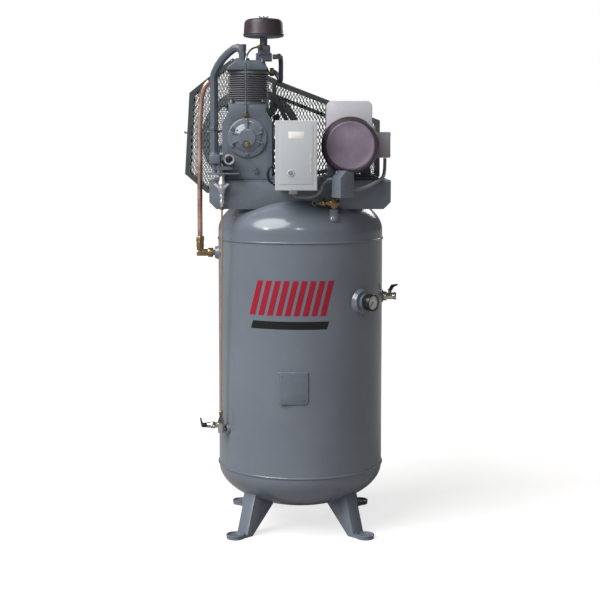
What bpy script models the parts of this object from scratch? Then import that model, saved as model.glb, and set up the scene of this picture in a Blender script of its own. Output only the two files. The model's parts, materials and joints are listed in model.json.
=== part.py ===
"""Upright tank air compressor: receiver, deck, two-cylinder pump, motor, guard and controls.

Lengths are in metres. X runs to the right seen from the control box side, Y to the back, Z up.
Shapes are laid out from the tank's axis; the object "base" then shifts them all so that the
middle of the whole outline stands at the world's origin.
"""
import math

import bmesh
import bpy
from mathutils import Matrix, Vector

GAP = 0.0003                     # play between pieces that touch
MERGE = 0.00002                  # corners closer than this are one corner
TANK_SIDES = 40                  # facets round the receiver
DOME_STEPS = 6                   # facets down a head's section
BASE_SHIFT = (0.0405, 0.027)      # tank axis from the middle of the outline

# Receiver
TANK_R = 0.305
TANK_WALL = 0.005
HEAD_DEPTH = TANK_R / 2          # two-to-one elliptical heads
TOP_HEAD_Z = 1.105
BOTTOM_HEAD_Z = 0.230
SEAM_TOP_Z = 1.075
SEAM_BOTTOM_Z = 0.235

# Legs, at 45 degrees to the front
LEG_WEB = 0.055
LEG_SHEET = 0.005
PAD_R = 0.032
PAD_T = 0.010
PAD_REACH = 0.332
PAD_HOLE_R = 0.0085

# Deck
DECK_X = (-0.325, 0.323)
DECK_HALF_Y = 0.200
DECK_TOP = 1.293
DECK_T = 0.005
SKIRT_BOTTOM = 1.190
SKIRT_CHAMFER = 0.025

# Pump
CRANK_X = -0.189
CRANK_Z = 1.444
THROW = 0.038
CASE_HALF = 0.089
CASE_Y = (-0.190, 0.160)
CASE_TOP = 1.5625
FIRST_Y = -0.100
SECOND_Y = 0.060
FIRST_BORE = 0.051
SECOND_BORE = 0.029
CYLINDER_TOP = 1.683
FINS = 5
HEAD_TOP = 1.720
PIN_Z = 1.612                    # gudgeon pins at half stroke
SHAFT_R = 0.014

# Belt drive
FLYWHEEL_R = 0.195
PULLEY_R = 0.088
BELT_Y = 0.252
BELT_DEPTH = 0.012

# Motor
MOTOR_X = 0.176
MOTOR_Z = 1.4165
MOTOR_R = 0.095
MOTOR_Y = (-0.199, 0.100)
FAN_COVER_R = 0.102
FAN_COVER_FRONT = -0.280
MOTOR_SHAFT_R = 0.012

# Belt guard
GUARD_Y = (0.205, 0.310)
GUARD_SHEET = 0.002

# Control box
BOX_X = (-0.087, 0.059)
BOX_Z = (1.261, 1.503)
BOX_Y = (-0.360, -0.230)
LID_Y = -0.345
BOX_SHEET = 0.002

# Air filter and intake
FILTER_AT = (-0.133, -0.080)
FILTER_R = 0.074
FILTER_Z = (1.806, 1.872)

# Fittings on the tank
INLET_Z = 1.019
GAUGE_Z = 0.859
GAUGE_TURN = math.radians(-44)
OUTLET_Z = 0.856
OUTLET_REACH = 0.310
DRAIN_TURN = math.radians(210)
DRAIN_Z = 0.385
SWITCH_AT = (0.118, -0.250)


# ---------------------------------------------------------------- materials and nodes

def paint(name, hex_colour, roughness, metallic=0.0):
    """A Principled material of one colour, given as sRGB hex."""
    channels = [int(hex_colour[i:i + 2], 16) / 255 for i in (0, 2, 4)]
    linear = [c / 12.92 if c <= 0.04045 else ((c + 0.055) / 1.055) ** 2.4 for c in channels]
    material = bpy.data.materials.new(name)
    material.use_nodes = True
    shader = material.node_tree.nodes["Principled BSDF"]
    shader.inputs["Base Color"].default_value = (*linear, 1.0)
    shader.inputs["Roughness"].default_value = roughness
    shader.inputs["Metallic"].default_value = metallic
    return material


def shape(bm):
    """A loose object holding this bmesh, faces turned outward."""
    bmesh.ops.recalc_face_normals(bm, faces=bm.faces)
    mesh = bpy.data.meshes.new("shape")
    bm.to_mesh(mesh)
    bm.free()
    loose = bpy.data.objects.new("shape", mesh)
    bpy.context.scene.collection.objects.link(loose)
    return loose


def combine(body, tools, operation):
    """Apply an exact Boolean of each tool to the body, and drop the tools."""
    for tool in tools:
        step = body.modifiers.new("combine", "BOOLEAN")
        step.operation = operation
        step.solver = "EXACT"
        step.object = tool
        graph = bpy.context.evaluated_depsgraph_get()
        made = bpy.data.meshes.new_from_object(body.evaluated_get(graph))
        body.modifiers.remove(step)
        body.data = made
        bpy.data.objects.remove(tool)
    bm = bmesh.new()
    bm.from_mesh(body.data)
    bmesh.ops.remove_doubles(bm, verts=bm.verts, dist=MERGE)
    bmesh.ops.dissolve_limit(bm, angle_limit=0.0005, verts=bm.verts, edges=bm.edges)
    bmesh.ops.triangulate(bm, faces=bm.faces, quad_method="BEAUTY", ngon_method="BEAUTY")
    bm.to_mesh(body.data)
    bm.free()
    return body


def union(body, *tools):
    return combine(body, tools, "UNION")


def cut(body, *tools):
    return combine(body, tools, "DIFFERENCE")


def node(name, body, material, pivot=(0, 0, 0)):
    """Name the finished solid, give it its material and put its origin at the pivot."""
    body.name = name
    body.data.name = name
    body.data.transform(Matrix.Translation(-Vector(pivot)))
    body.location = pivot
    body.data.materials.clear()
    body.data.materials.append(material)
    body.data.shade_smooth()
    body.data.set_sharp_from_angle(angle=math.radians(35))
    return body


# ---------------------------------------------------------------- basic solids

def block(x, y, z, bevel=0.0):
    """A box between two values on each axis, its edges rounded by bevel."""
    bm = bmesh.new()
    bmesh.ops.create_cube(bm, size=1.0)
    size = (x[1] - x[0], y[1] - y[0], z[1] - z[0])
    centre = (sum(x) / 2, sum(y) / 2, sum(z) / 2)
    bmesh.ops.scale(bm, vec=size, verts=bm.verts)
    bmesh.ops.translate(bm, vec=centre, verts=bm.verts)
    if bevel:
        bmesh.ops.bevel(bm, geom=bm.edges[:], offset=bevel, segments=2, affect="EDGES", profile=0.5)
    return shape(bm)


def turned(outline, at=(0, 0, 0), axis=(0, 0, 1), steps=24):
    """Revolve a closed outline of (radius, height) points about an axis through a point."""
    bm = bmesh.new()
    turn = Vector((0, 0, 1)).rotation_difference(Vector(axis))
    rings = []
    for radius, height in outline:
        count = 1 if radius < 1e-9 else steps
        ring = []
        for k in range(count):
            angle = 2 * math.pi * (k + 0.5) / steps
            local = Vector((radius * math.cos(angle), radius * math.sin(angle), height))
            ring.append(bm.verts.new(turn @ local + Vector(at)))
        rings.append(ring)
    for i, ring in enumerate(rings):
        after = rings[(i + 1) % len(rings)]
        if len(ring) == 1 and len(after) == 1:
            continue
        for k in range(steps):
            corners = [ring[k % len(ring)], ring[(k + 1) % len(ring)],
                       after[(k + 1) % len(after)], after[k % len(after)]]
            face = [v for j, v in enumerate(corners) if v not in corners[:j]]
            bm.faces.new(face)
    return shape(bm)


def rod(start, end, radius, steps=14, bore=0.0):
    """A round bar from one point to another, with an optional bore right through."""
    run = Vector(end) - Vector(start)
    outline = [(bore, 0), (radius, 0), (radius, run.length), (bore, run.length)]
    return turned(outline, start, run.normalized(), steps)


def prism(outline, depth, plane="XZ"):
    """Extrude a flat outline between two values on the axis square to its plane."""
    bm = bmesh.new()
    place = {"XZ": lambda a, b, d: (a, d, b), "XY": lambda a, b, d: (a, b, d),
             "YZ": lambda a, b, d: (d, a, b)}[plane]
    near = [bm.verts.new(place(a, b, depth[0])) for a, b in outline]
    far = [bm.verts.new(place(a, b, depth[1])) for a, b in outline]
    bm.faces.new(near)
    bm.faces.new(list(reversed(far)))
    for i in range(len(outline)):
        j = (i + 1) % len(outline)
        bm.faces.new((near[i], far[i], far[j], near[j]))
    return shape(bm)


def smooth_route(points, per_span=4):
    """Points along a Catmull-Rom curve through the given ones."""
    ends = [Vector(p) for p in points]
    ends = [2 * ends[0] - ends[1], *ends, 2 * ends[-1] - ends[-2]]
    route = []
    for i in range(1, len(ends) - 2):
        p0, p1, p2, p3 = ends[i - 1:i + 3]
        for k in range(per_span):
            t = k / per_span
            route.append(0.5 * (2 * p1 + (p2 - p0) * t + (2 * p0 - 5 * p1 + 4 * p2 - p3) * t ** 2
                                + (3 * p1 - p0 - 3 * p2 + p3) * t ** 3))
    return [*route, ends[-2]]


def tube(points, radius, resolution=2, per_span=4):
    """A bent round tube through the points, with closed ends."""
    curve = bpy.data.curves.new("tube", "CURVE")
    curve.dimensions = "3D"
    curve.bevel_depth = radius
    curve.bevel_resolution = resolution
    curve.use_fill_caps = True
    route = smooth_route(points, per_span) if len(points) > 2 else [Vector(p) for p in points]
    spline = curve.splines.new("POLY")
    spline.points.add(len(route) - 1)
    for point, place in zip(spline.points, route):
        point.co = (*place, 1.0)
    drawn = bpy.data.objects.new("tube", curve)
    bpy.context.scene.collection.objects.link(drawn)
    graph = bpy.context.evaluated_depsgraph_get()
    bm = bmesh.new()
    bm.from_mesh(bpy.data.meshes.new_from_object(drawn.evaluated_get(graph)))
    bpy.data.objects.remove(drawn)
    bmesh.ops.remove_doubles(bm, verts=bm.verts, dist=1e-6)
    return shape(bm)


def dome_arc(side, offset, steps=DOME_STEPS):
    """Points of a head's elliptical section from its rim to its crown."""
    rim = TOP_HEAD_Z if side > 0 else BOTTOM_HEAD_Z
    points = []
    for k in range(steps + 1):
        angle = math.pi / 2 * k / steps
        radius = (TANK_R + offset) * math.cos(angle)
        points.append((max(radius, 0.0) if k < steps else 0.0,
                       rim + side * (HEAD_DEPTH + offset) * math.sin(angle)))
    return points


def tank_envelope():
    """The whole receiver with a little play all round, to trim what is welded to it."""
    outline = list(reversed(dome_arc(-1, GAP))) + dome_arc(1, GAP)
    return turned(outline, steps=TANK_SIDES)


# ---------------------------------------------------------------- receiver and deck

def welded_coupling(turn, height, radius, reach, bore):
    """A round boss that grows out of the shell, square to it, and the cutter for its mouth."""
    out = Vector((math.cos(turn), math.sin(turn), 0))
    lift = Vector((0, 0, height))
    boss = rod(out * (TANK_R - 0.003) + lift, out * reach + lift, radius, 20)
    mouth = rod(out * (reach - 0.008) + lift, out * (reach + 0.01) + lift, bore, 14)
    return boss, mouth


def build_receiver(grey):
    """Shell and two dished heads, each with the couplings welded to it."""
    bosses, mouths = zip(welded_coupling(math.pi, INLET_Z, 0.0225, 0.3183, 0.0111),
                         welded_coupling(GAUGE_TURN, GAUGE_Z, 0.044, 0.3200, 0.010),
                         welded_coupling(0.0, OUTLET_Z, 0.0210, OUTLET_REACH, 0.0095),
                         welded_coupling(DRAIN_TURN, DRAIN_Z, 0.0170, 0.3150, 0.009))
    bar = rod((0, 0, SEAM_BOTTOM_Z + GAP), (0, 0, SEAM_TOP_Z - GAP), TANK_R, TANK_SIDES)
    inside = rod((0, 0, SEAM_BOTTOM_Z - 0.01), (0, 0, SEAM_TOP_Z + 0.01), TANK_R - TANK_WALL, TANK_SIDES)
    node("tank_shell", cut(union(bar, *bosses), inside, *mouths), grey)
    for name, side, seam in (("tank_top_head", 1, SEAM_TOP_Z), ("tank_bottom_head", -1, SEAM_BOTTOM_Z)):
        head = turned([(0, seam), (TANK_R, seam), *dome_arc(side, 0)], steps=TANK_SIDES)
        past = seam - side * 0.01
        hollow = turned([(0, past), (TANK_R - TANK_WALL, past), *dome_arc(side, -TANK_WALL)], steps=TANK_SIDES)
        if side > 0:
            x, y = SWITCH_AT
            head = union(head, rod((x, y, 1.130), (x, y, 1.192), 0.016, 20))
            head = cut(head, rod((x, y, 1.184), (x, y, 1.200), 0.009, 14))
        node(name, cut(head, hollow), grey)


def build_legs(grey):
    """Four folded legs: a sloping web, two cheeks that meet the head, and a round pad."""
    half = LEG_WEB / 2
    web = prism([(0.250, 0.160), (0.256, 0.160), (0.300, 0.004), (0.300, 0.0), (0.290, 0.0)],
                (-half, half))
    cheeks = [prism([(0.150, 0.120), (0.2535, 0.160), (0.2985, 0.004), (0.2985, 0.0), (0.272, 0.0)],
                    (side * half - LEG_SHEET * (side > 0), side * half + LEG_SHEET * (side < 0)))
              for side in (-1, 1)]
    pad = turned([(0, 0), (PAD_R, 0), (PAD_R, PAD_T), (0, PAD_T)], (PAD_REACH, 0, 0), steps=20)
    sole = block((0.285, PAD_REACH), (-half, half), (0, PAD_T))
    hole = rod((PAD_REACH, 0, -0.01), (PAD_REACH, 0, 0.03), PAD_HOLE_R)
    leg = union(web, *cheeks, sole, pad)
    leg = cut(leg, hole, tank_envelope())
    names = {45: "leg_back_right", 135: "leg_back_left", 225: "leg_front_left", 315: "leg_front_right"}
    for angle, name in names.items():
        copy = bpy.data.objects.new("copy", leg.data.copy())
        bpy.context.scene.collection.objects.link(copy)
        node(name, copy, grey)
        copy.rotation_euler = (0, 0, math.radians(angle))
    bpy.data.objects.remove(leg)


def build_deck(grey):
    """Deck plate on two skirts; the rear one carries the guard, the front one the control box."""
    node("deck_plate", block(DECK_X, (-DECK_HALF_Y, DECK_HALF_Y), (DECK_TOP - DECK_T, DECK_TOP)), grey)
    left, right = DECK_X
    top = DECK_TOP - DECK_T - GAP
    outline = [(left, top), (left, SKIRT_BOTTOM + SKIRT_CHAMFER), (left + SKIRT_CHAMFER, SKIRT_BOTTOM),
               (right - SKIRT_CHAMFER, SKIRT_BOTTOM), (right, SKIRT_BOTTOM + SKIRT_CHAMFER), (right, top)]
    inner = DECK_HALF_Y - DECK_T
    front = prism(outline, (-DECK_HALF_Y, -inner))
    arm = block((-0.080, 0.052), (BOX_Y[1] + GAP, -inner - 0.001), (1.262, 1.281))
    riser = block((-0.080, 0.052), (BOX_Y[1] + GAP, BOX_Y[1] + 0.004), (1.262, 1.480))
    node("deck_front_skirt", cut(union(front, arm, riser), tank_envelope()), grey)
    rear = prism(outline, (inner, DECK_HALF_Y))
    spacer = block((-0.120, 0.120), (inner + 0.001, GUARD_Y[0] - GAP), (1.240, 1.280))
    node("deck_rear_skirt", cut(union(rear, spacer), tank_envelope()), grey)


# ---------------------------------------------------------------- pump

def build_crankcase(grey, cover_grey):
    def section(half, bottom, shoulder, neck, top):
        return [(CRANK_X - half, bottom), (CRANK_X + half, bottom), (CRANK_X + half, shoulder),
                (CRANK_X + neck, shoulder + 0.035), (CRANK_X + neck, top),
                (CRANK_X - neck, top), (CRANK_X - neck, shoulder + 0.035), (CRANK_X - half, shoulder)]
    case = prism(section(CASE_HALF, DECK_TOP + GAP, 1.500, 0.066, CASE_TOP), CASE_Y)
    foot = block((CRANK_X - 0.102, CRANK_X + 0.102), CASE_Y, (DECK_TOP + GAP, DECK_TOP + 0.014))
    room = prism(section(CASE_HALF - 0.008, DECK_TOP + 0.010, 1.492, 0.056, 1.550),
                 (CASE_Y[0] + 0.010, CASE_Y[1] - 0.010))
    bores = [rod((CRANK_X, FIRST_Y, 1.52), (CRANK_X, FIRST_Y, 1.60), FIRST_BORE + 0.001, 22),
             rod((CRANK_X, SECOND_Y, 1.52), (CRANK_X, SECOND_Y, 1.60), SECOND_BORE + 0.002, 20),
             rod((CRANK_X, CASE_Y[0] - 0.01, CRANK_Z), (CRANK_X, CASE_Y[0] + 0.02, CRANK_Z), 0.056, 22),
             rod((CRANK_X, CASE_Y[1] - 0.02, CRANK_Z), (CRANK_X, CASE_Y[1] + 0.01, CRANK_Z), 0.0312, 16)]
    node("crankcase", cut(union(case, foot), room, *bores), grey)
    front = CASE_Y[0] - GAP
    cover = [(0, -0.022), (0.030, -0.022), (0.032, -0.012), (0.050, -0.012), (0.056, -0.008),
             (0.070, -0.008), (0.070, 0), (0.0545, 0), (0.0545, 0.014), (SHAFT_R + GAP, 0.014),
             (SHAFT_R + GAP, -0.006), (0, -0.006)]
    node("front_bearing_cover", turned(cover, (CRANK_X, front, CRANK_Z), (0, 1, 0), 20), cover_grey)
    ring = [(SHAFT_R + GAP, 0), (0.0297, 0), (0.0297, 0.008), (SHAFT_R + GAP, 0.008)]
    bearing = turned(ring, (CRANK_X, CASE_Y[1] - 0.009, CRANK_Z), (0, 1, 0), 20)
    node("rear_main_bearing", bearing, cover_grey)


def build_crankshaft(steel):
    """Straight shaft with cheeks on each side of a rod; the crankpins stop short of the rods."""
    shaft = rod((CRANK_X, -0.186, CRANK_Z), (CRANK_X, 0.290, CRANK_Z), SHAFT_R, 16)
    pieces = []
    for y, side in ((FIRST_Y, -1), (SECOND_Y, 1)):
        pin_x = CRANK_X + side * THROW
        for face in (-1, 1):
            near, far = y + face * 0.0125, y + face * 0.0265
            web_y = sorted((near + face * 0.004, far))
            pieces.append(block(sorted((CRANK_X - side * 0.030, pin_x + side * 0.013)), web_y,
                                (CRANK_Z - 0.018, CRANK_Z + 0.018)))
            pieces.append(rod((pin_x, near, CRANK_Z), (pin_x, far, CRANK_Z), 0.0115, 14))
    node("crankshaft", union(shaft, *pieces), steel, (CRANK_X, 0, CRANK_Z))


def build_cylinder(name, y, bore, outer, material):
    bottom, top = CASE_TOP + GAP, CYLINDER_TOP
    barrel = outer - 0.017
    pitch = (top - bottom) / FINS
    outline = [(bore, bottom)]
    for k in range(FINS):
        low = bottom + k * pitch
        outline += [(outer, low), (outer, low + 0.004), (barrel, low + 0.0048),
                    (barrel, low + pitch - 0.0008)]
    outline[-1] = (barrel, top - 0.004)
    outline += [(outer, top - 0.0038), (outer, top), (bore, top)]
    node(name, turned(outline, (CRANK_X, y, 0), steps=18), material)


def build_piston(name, y, bore, side, alloy, steel):
    """A cup piston, and its rod leaning from the gudgeon pin to the crankpin."""
    radius = bore - 0.0015
    at = (CRANK_X, y, PIN_Z)
    cup = [(0, 0.030), (radius, 0.030), (radius, -0.020), (radius - 0.005, -0.020),
           (radius - 0.005, 0.022), (0, 0.022)]
    pin_hole = rod((CRANK_X, y - 0.06, PIN_Z), (CRANK_X, y + 0.06, PIN_Z), 0.0083, 14)
    node(name + "_piston", cut(turned(cup, at, steps=24), pin_hole), alloy, at)
    big_end = Vector((CRANK_X + side * THROW, y, CRANK_Z))
    pin_half = radius - 0.001
    pin = rod((CRANK_X, y - pin_half, PIN_Z), (CRANK_X, y + pin_half, PIN_Z), 0.008, 14)
    small = rod((CRANK_X, y - 0.008, PIN_Z), (CRANK_X, y + 0.008, PIN_Z), 0.013, 16)
    large = rod(big_end - Vector((0, 0.0105, 0)), big_end + Vector((0, 0.0105, 0)), 0.0195, 20)
    eye = rod(big_end - Vector((0, 0.02, 0)), big_end + Vector((0, 0.02, 0)), 0.0122, 14)
    lean = (Vector(at) - big_end).normalized()
    shank = rod(big_end + lean * 0.014, Vector(at) - lean * 0.009, 0.0065, 10)
    node(name + "_rod", cut(union(shank, large, small, pin), eye), steel, at)


def build_head(grey):
    """One sloping-sided head casting over both cylinders."""
    half = 0.074
    outline = [(CRANK_X - half, CYLINDER_TOP + GAP), (CRANK_X + half, CYLINDER_TOP + GAP),
               (CRANK_X + half, 1.694), (CRANK_X + 0.042, HEAD_TOP), (CRANK_X - 0.042, HEAD_TOP),
               (CRANK_X - half, 1.694)]
    node("cylinder_head", prism(outline, (-0.174, 0.132)), grey)


def build_intake(grey, dark, foam):
    """Unloader body on the head, the filter's dish on its neck, the felt ring and the cover."""
    x, y = FILTER_AT
    floor, high = FILTER_Z
    column = rod((x, y, HEAD_TOP + 0.010), (x, y, floor + 0.001), 0.014, 16)
    body = block((x - 0.021, x + 0.024), (y - 0.022, y + 0.022), (HEAD_TOP + 0.022, 1.778), 0.004)
    neck = block((x - 0.028, x + 0.030), (y - 0.018, y + 0.018), (HEAD_TOP + GAP, HEAD_TOP + 0.030), 0.003)
    dish = turned([(0, floor), (0.060, floor), (FILTER_R - 0.002, floor + 0.003),
                   (FILTER_R - 0.002, floor + 0.006), (0, floor + 0.006)], (x, y, 0), steps=28)
    node("intake_unloader", union(column, body, neck, dish), grey)
    low = floor + 0.0063
    cover = turned([(0, high), (FILTER_R - 0.004, high), (FILTER_R, high - 0.004), (FILTER_R, low),
                    (FILTER_R - 0.002, low), (FILTER_R - 0.002, high - 0.003), (0, high - 0.003)],
                   (x, y, 0), steps=28)
    nut = rod((x, y, high - 0.001), (x, y, high + 0.008), 0.006, 12)
    wings = block((x - 0.013, x + 0.013), (y - 0.0015, y + 0.0015), (high + 0.001, high + 0.011))
    node("filter_cover", union(cover, nut, wings), dark)
    element = [(0.040, low + GAP), (0.062, low + GAP), (0.062, high - 0.006), (0.040, high - 0.006)]
    node("filter_element", turned(element, (x, y, 0), steps=20), foam)


def build_pump_pipes(grey, light):
    x = CRANK_X - 0.020
    top = HEAD_TOP + GAP
    flange = rod((x, FIRST_Y, top), (x, FIRST_Y, top + 0.010), 0.026, 16)
    elbow = tube([(x, FIRST_Y, top + 0.004), (x, FIRST_Y, top + 0.026), (x - 0.010, FIRST_Y + 0.004, top + 0.045),
                  (x - 0.032, FIRST_Y + 0.016, top + 0.045), (x - 0.074, FIRST_Y + 0.040, top + 0.010),
                  (-0.3145, FIRST_Y + 0.068, 1.680), (-0.3175, FIRST_Y + 0.074, 1.640),
                  (-0.3175, FIRST_Y + 0.074, 1.560), (-0.3175, FIRST_Y + 0.074, 1.392)], 0.0148, 2, 2)
    cap = rod((x, FIRST_Y, top + 0.036), (x, FIRST_Y, top + 0.060), 0.014, 14)
    node("aftercooler_pipe", union(elbow, flange, cap), grey)
    front = CASE_Y[0] - 0.0045
    unloader = [(FILTER_AT[0] - 0.012, -0.1070, 1.770), (-0.157, -0.130, 1.768), (-0.180, -0.170, 1.752),
                (-0.1925, front + 0.003, 1.722), (-0.1935, front, 1.690), (-0.1935, front, 1.600),
                (-0.1935, front, 1.520)]
    node("unloader_tube", tube(unloader, 0.0032, 2, 2), light)
    cooler = [(CRANK_X + 0.0750, SECOND_Y, 1.690), (-0.099, SECOND_Y, 1.690), (-0.083, 0.055, 1.674),
              (-0.075, 0.035, 1.655), (-0.072, 0.010, 1.690), (-0.072, -0.020, 1.728),
              (-0.076, -0.060, 1.741), (-0.088, -0.080, 1.737), (FILTER_AT[0] + 0.0325, -0.080, 1.737)]
    node("intercooler_pipe", tube(cooler, 0.009, 2, 2), grey)


def build_flywheel(grey):
    """A grooved rim on five spokes."""
    width = 0.026
    at = (CRANK_X, BELT_Y, CRANK_Z)
    r = FLYWHEEL_R
    rim = [(r - 0.030, -width), (r, -width), (r, -0.010), (r - 0.020, -0.0055), (r - 0.020, 0.0055),
           (r, 0.010), (r, width), (r - 0.030, width)]
    wheel = turned(rim, at, (0, 1, 0), 32)
    hub = turned([(SHAFT_R + GAP, -0.028), (0.036, -0.028), (0.036, 0.028), (SHAFT_R + GAP, 0.028)],
                 at, (0, 1, 0), 20)
    spokes = []
    for k in range(5):
        turn = 2 * math.pi * k / 5 + math.pi / 2
        spoke = block((0.028, r - 0.022), (-0.008, 0.008), (-0.014, 0.014))
        spoke.data.transform(Matrix.Translation(at) @ Matrix.Rotation(turn, 4, "Y"))
        spokes.append(spoke)
    node("flywheel", union(wheel, hub, *spokes), grey, at)


# ---------------------------------------------------------------- motor, belt and guard

def build_motor(grey, mauve, lavender, steel):
    axis = (0, 1, 0)
    at = (MOTOR_X, 0, MOTOR_Z)
    front, rear = MOTOR_Y
    shell = turned([(0, front), (MOTOR_R, front), (MOTOR_R, rear + 0.010), (0.050, rear + 0.028),
                    (0, rear + 0.028)], at, axis, 32)
    foot_bottom = DECK_TOP + 0.0126
    feet = [block((MOTOR_X + s * 0.062 - 0.014, MOTOR_X + s * 0.062 + 0.014), (-0.145, 0.055),
                  (foot_bottom + 0.002, MOTOR_Z - 0.066)) for s in (-1, 1)]
    flange = block((MOTOR_X - 0.090, MOTOR_X + 0.090), (-0.150, 0.060), (foot_bottom, foot_bottom + 0.005))
    hollow = rod((MOTOR_X, front - 0.01, MOTOR_Z), (MOTOR_X, rear, MOTOR_Z), MOTOR_R - 0.004, 32)
    shaft_hole = rod((MOTOR_X, rear - 0.01, MOTOR_Z), (MOTOR_X, rear + 0.04, MOTOR_Z), 0.0135, 16)
    node("motor_shell", cut(union(shell, *feet, flange), hollow, shaft_hole), grey)
    base = block((MOTOR_X - 0.105, MOTOR_X + 0.105), (-0.165, 0.085), (DECK_TOP + GAP, DECK_TOP + 0.012))
    slot = block((MOTOR_X - 0.050, MOTOR_X + 0.050), (-0.120, 0.040), (DECK_TOP - 0.01, DECK_TOP + 0.02))
    node("motor_slide_base", cut(base, slot), grey)
    depth = front - GAP
    r, inner = FAN_COVER_R, 0.082
    cover = [(0, FAN_COVER_FRONT), (inner, FAN_COVER_FRONT), (inner + 0.004, FAN_COVER_FRONT + 0.005),
             (r - 0.006, FAN_COVER_FRONT + 0.007), (r, FAN_COVER_FRONT + 0.014), (r, depth),
             (r - 0.002, depth), (r - 0.002, FAN_COVER_FRONT + 0.016), (r - 0.008, FAN_COVER_FRONT + 0.009),
             (0, FAN_COVER_FRONT + 0.002)]
    node("motor_fan_cover", turned(cover, at, axis, 22), mauve)
    stator = [(0.055, -0.120), (MOTOR_R - 0.0046, -0.120), (MOTOR_R - 0.0046, 0.030), (0.055, 0.030)]
    node("motor_stator", turned(stator, at, axis, 16), steel)
    bar = MOTOR_SHAFT_R
    spindle = turned([(0, -0.250), (bar, -0.250), (bar, -0.246), (0.024, -0.246), (0.024, -0.214),
                      (bar, -0.214), (bar, -0.120), (0.0535, -0.120), (0.0535, 0.030), (bar, 0.030),
                      (bar, 0.284), (0, 0.284)], at, axis, 20)
    blades = []
    for k in range(6):
        blade = block((0.0200, 0.080), (-0.013, 0.013), (-0.0012, 0.0012))
        blade.data.transform(Matrix.Translation((MOTOR_X, -0.230, MOTOR_Z))
                             @ Matrix.Rotation(math.pi * k / 3 + 0.11, 4, "Y"))
        blades.append(blade)
    node("motor_rotor", union(spindle, *blades), steel, at)
    lid = block((MOTOR_X - 0.083, MOTOR_X + 0.080), (-0.190, 0.020), (MOTOR_Z + 0.040, 1.575), 0.010)
    room = block((MOTOR_X - 0.080, MOTOR_X + 0.077), (-0.187, 0.017), (MOTOR_Z, 1.572))
    over = rod((MOTOR_X, -0.21, MOTOR_Z), (MOTOR_X, 0.04, MOTOR_Z), MOTOR_R + 0.0006, 32)
    node("capacitor_cover", cut(lid, room, over), lavender)
    wiring = block((MOTOR_X + 0.080, MOTOR_X + 0.148), (-0.150, -0.050), (1.3725, 1.4650), 0.003)
    over = rod((MOTOR_X, -0.21, MOTOR_Z), (MOTOR_X, 0.04, MOTOR_Z), MOTOR_R + 0.0006, 32)
    node("motor_junction_box", cut(wiring, over), grey)


def build_motor_pulley(grey):
    r, width = PULLEY_R, 0.016
    outline = [(MOTOR_SHAFT_R + GAP, -width), (r, -width), (r, -0.010), (r - 0.020, -0.0055),
               (r - 0.020, 0.0055), (r, 0.010), (r, width), (MOTOR_SHAFT_R + GAP, width)]
    at = (MOTOR_X, BELT_Y, MOTOR_Z)
    node("motor_pulley", turned(outline, at, (0, 1, 0), 20), grey, at)


def belt_loop(depth, steps=14):
    """Points round both pulleys at one depth below their rims, along the outer tangents."""
    big, small = Vector((CRANK_X, CRANK_Z)), Vector((MOTOR_X, MOTOR_Z))
    r_big, r_small = FLYWHEEL_R - depth, PULLEY_R - depth
    run = small - big
    heading = math.atan2(run.y, run.x)
    spread = math.acos((r_big - r_small) / run.length)
    loop = []
    for centre, radius, start, end in (
            (big, r_big, heading + spread, heading + 2 * math.pi - spread),
            (small, r_small, heading - spread, heading + spread)):
        for k in range(steps + 1):
            turn = start + (end - start) * k / steps
            loop.append(centre + Vector((math.cos(turn), math.sin(turn))) * radius)
    return loop


def build_belt(rubber):
    """A V-belt: a trapezoid section carried round the loop."""
    rings = [(0.0155, -0.0050), (0.0015, -0.0085), (0.0015, 0.0085), (0.0155, 0.0050)]
    bm = bmesh.new()
    loops = [[bm.verts.new((p.x, BELT_Y + y, p.y)) for p in belt_loop(depth)] for depth, y in rings]
    count = len(loops[0])
    for near, far in zip(loops, loops[1:] + loops[:1]):
        for i in range(count):
            j = (i + 1) % count
            bm.faces.new((near[i], near[j], far[j], far[i]))
    node("drive_belt", shape(bm), rubber)


def guard_outline(inset=0.0):
    """The guard's side view, corner by corner, drawn in by inset."""
    corners = [(-0.446, 1.307), (-0.427, 1.619), (-0.261, 1.751), (-0.080, 1.663), (0.138, 1.579),
               (0.307, 1.513), (0.307, 1.300), (0.250, 1.233), (-0.3615, 1.233)]
    if not inset:
        return corners
    drawn = []
    for i, corner in enumerate(corners):
        here = Vector(corner)
        before = (here - Vector(corners[i - 1])).normalized()
        after = (Vector(corners[(i + 1) % len(corners)]) - here).normalized()
        inward = Vector((before.y, -before.x)) + Vector((after.y, -after.x))
        inward.normalize()
        stretch = inset / max(0.3, abs(inward.dot(Vector((before.y, -before.x)))))
        drawn.append(tuple(here + inward * stretch))
    return drawn


def build_guard(mesh_grey):
    front, rear = GUARD_Y
    panel = prism(guard_outline(), (front, front + GUARD_SHEET))
    holes = [rod((CRANK_X, front - 0.01, CRANK_Z), (CRANK_X, front + 0.01, CRANK_Z), 0.024, 16),
             rod((MOTOR_X, front - 0.01, MOTOR_Z), (MOTOR_X, front + 0.01, MOTOR_Z), 0.022, 16)]
    node("guard_rear_panel", prism(guard_outline(), (rear - GUARD_SHEET, rear)), mesh_grey)
    depth = (front + GUARD_SHEET + GAP, rear - GUARD_SHEET - GAP)
    rim = prism(guard_outline(), depth)
    hollow = prism(guard_outline(0.002), (depth[0] - 0.01, depth[1] + 0.01))
    node("guard_rim", cut(rim, hollow), mesh_grey)
    y = (front - 0.005, front + 0.001)
    legs = [prism([(-0.098, 1.600), (-0.086, 1.600), (-0.122, 1.500), (-0.134, 1.500)], y),
            prism([(-0.102, 1.598), (-0.082, 1.600), (-0.018, 1.470), (-0.040, 1.470)], y)]
    node("guard_front_panel", union(cut(panel, *holes), *legs), mesh_grey)


# ---------------------------------------------------------------- controls

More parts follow.
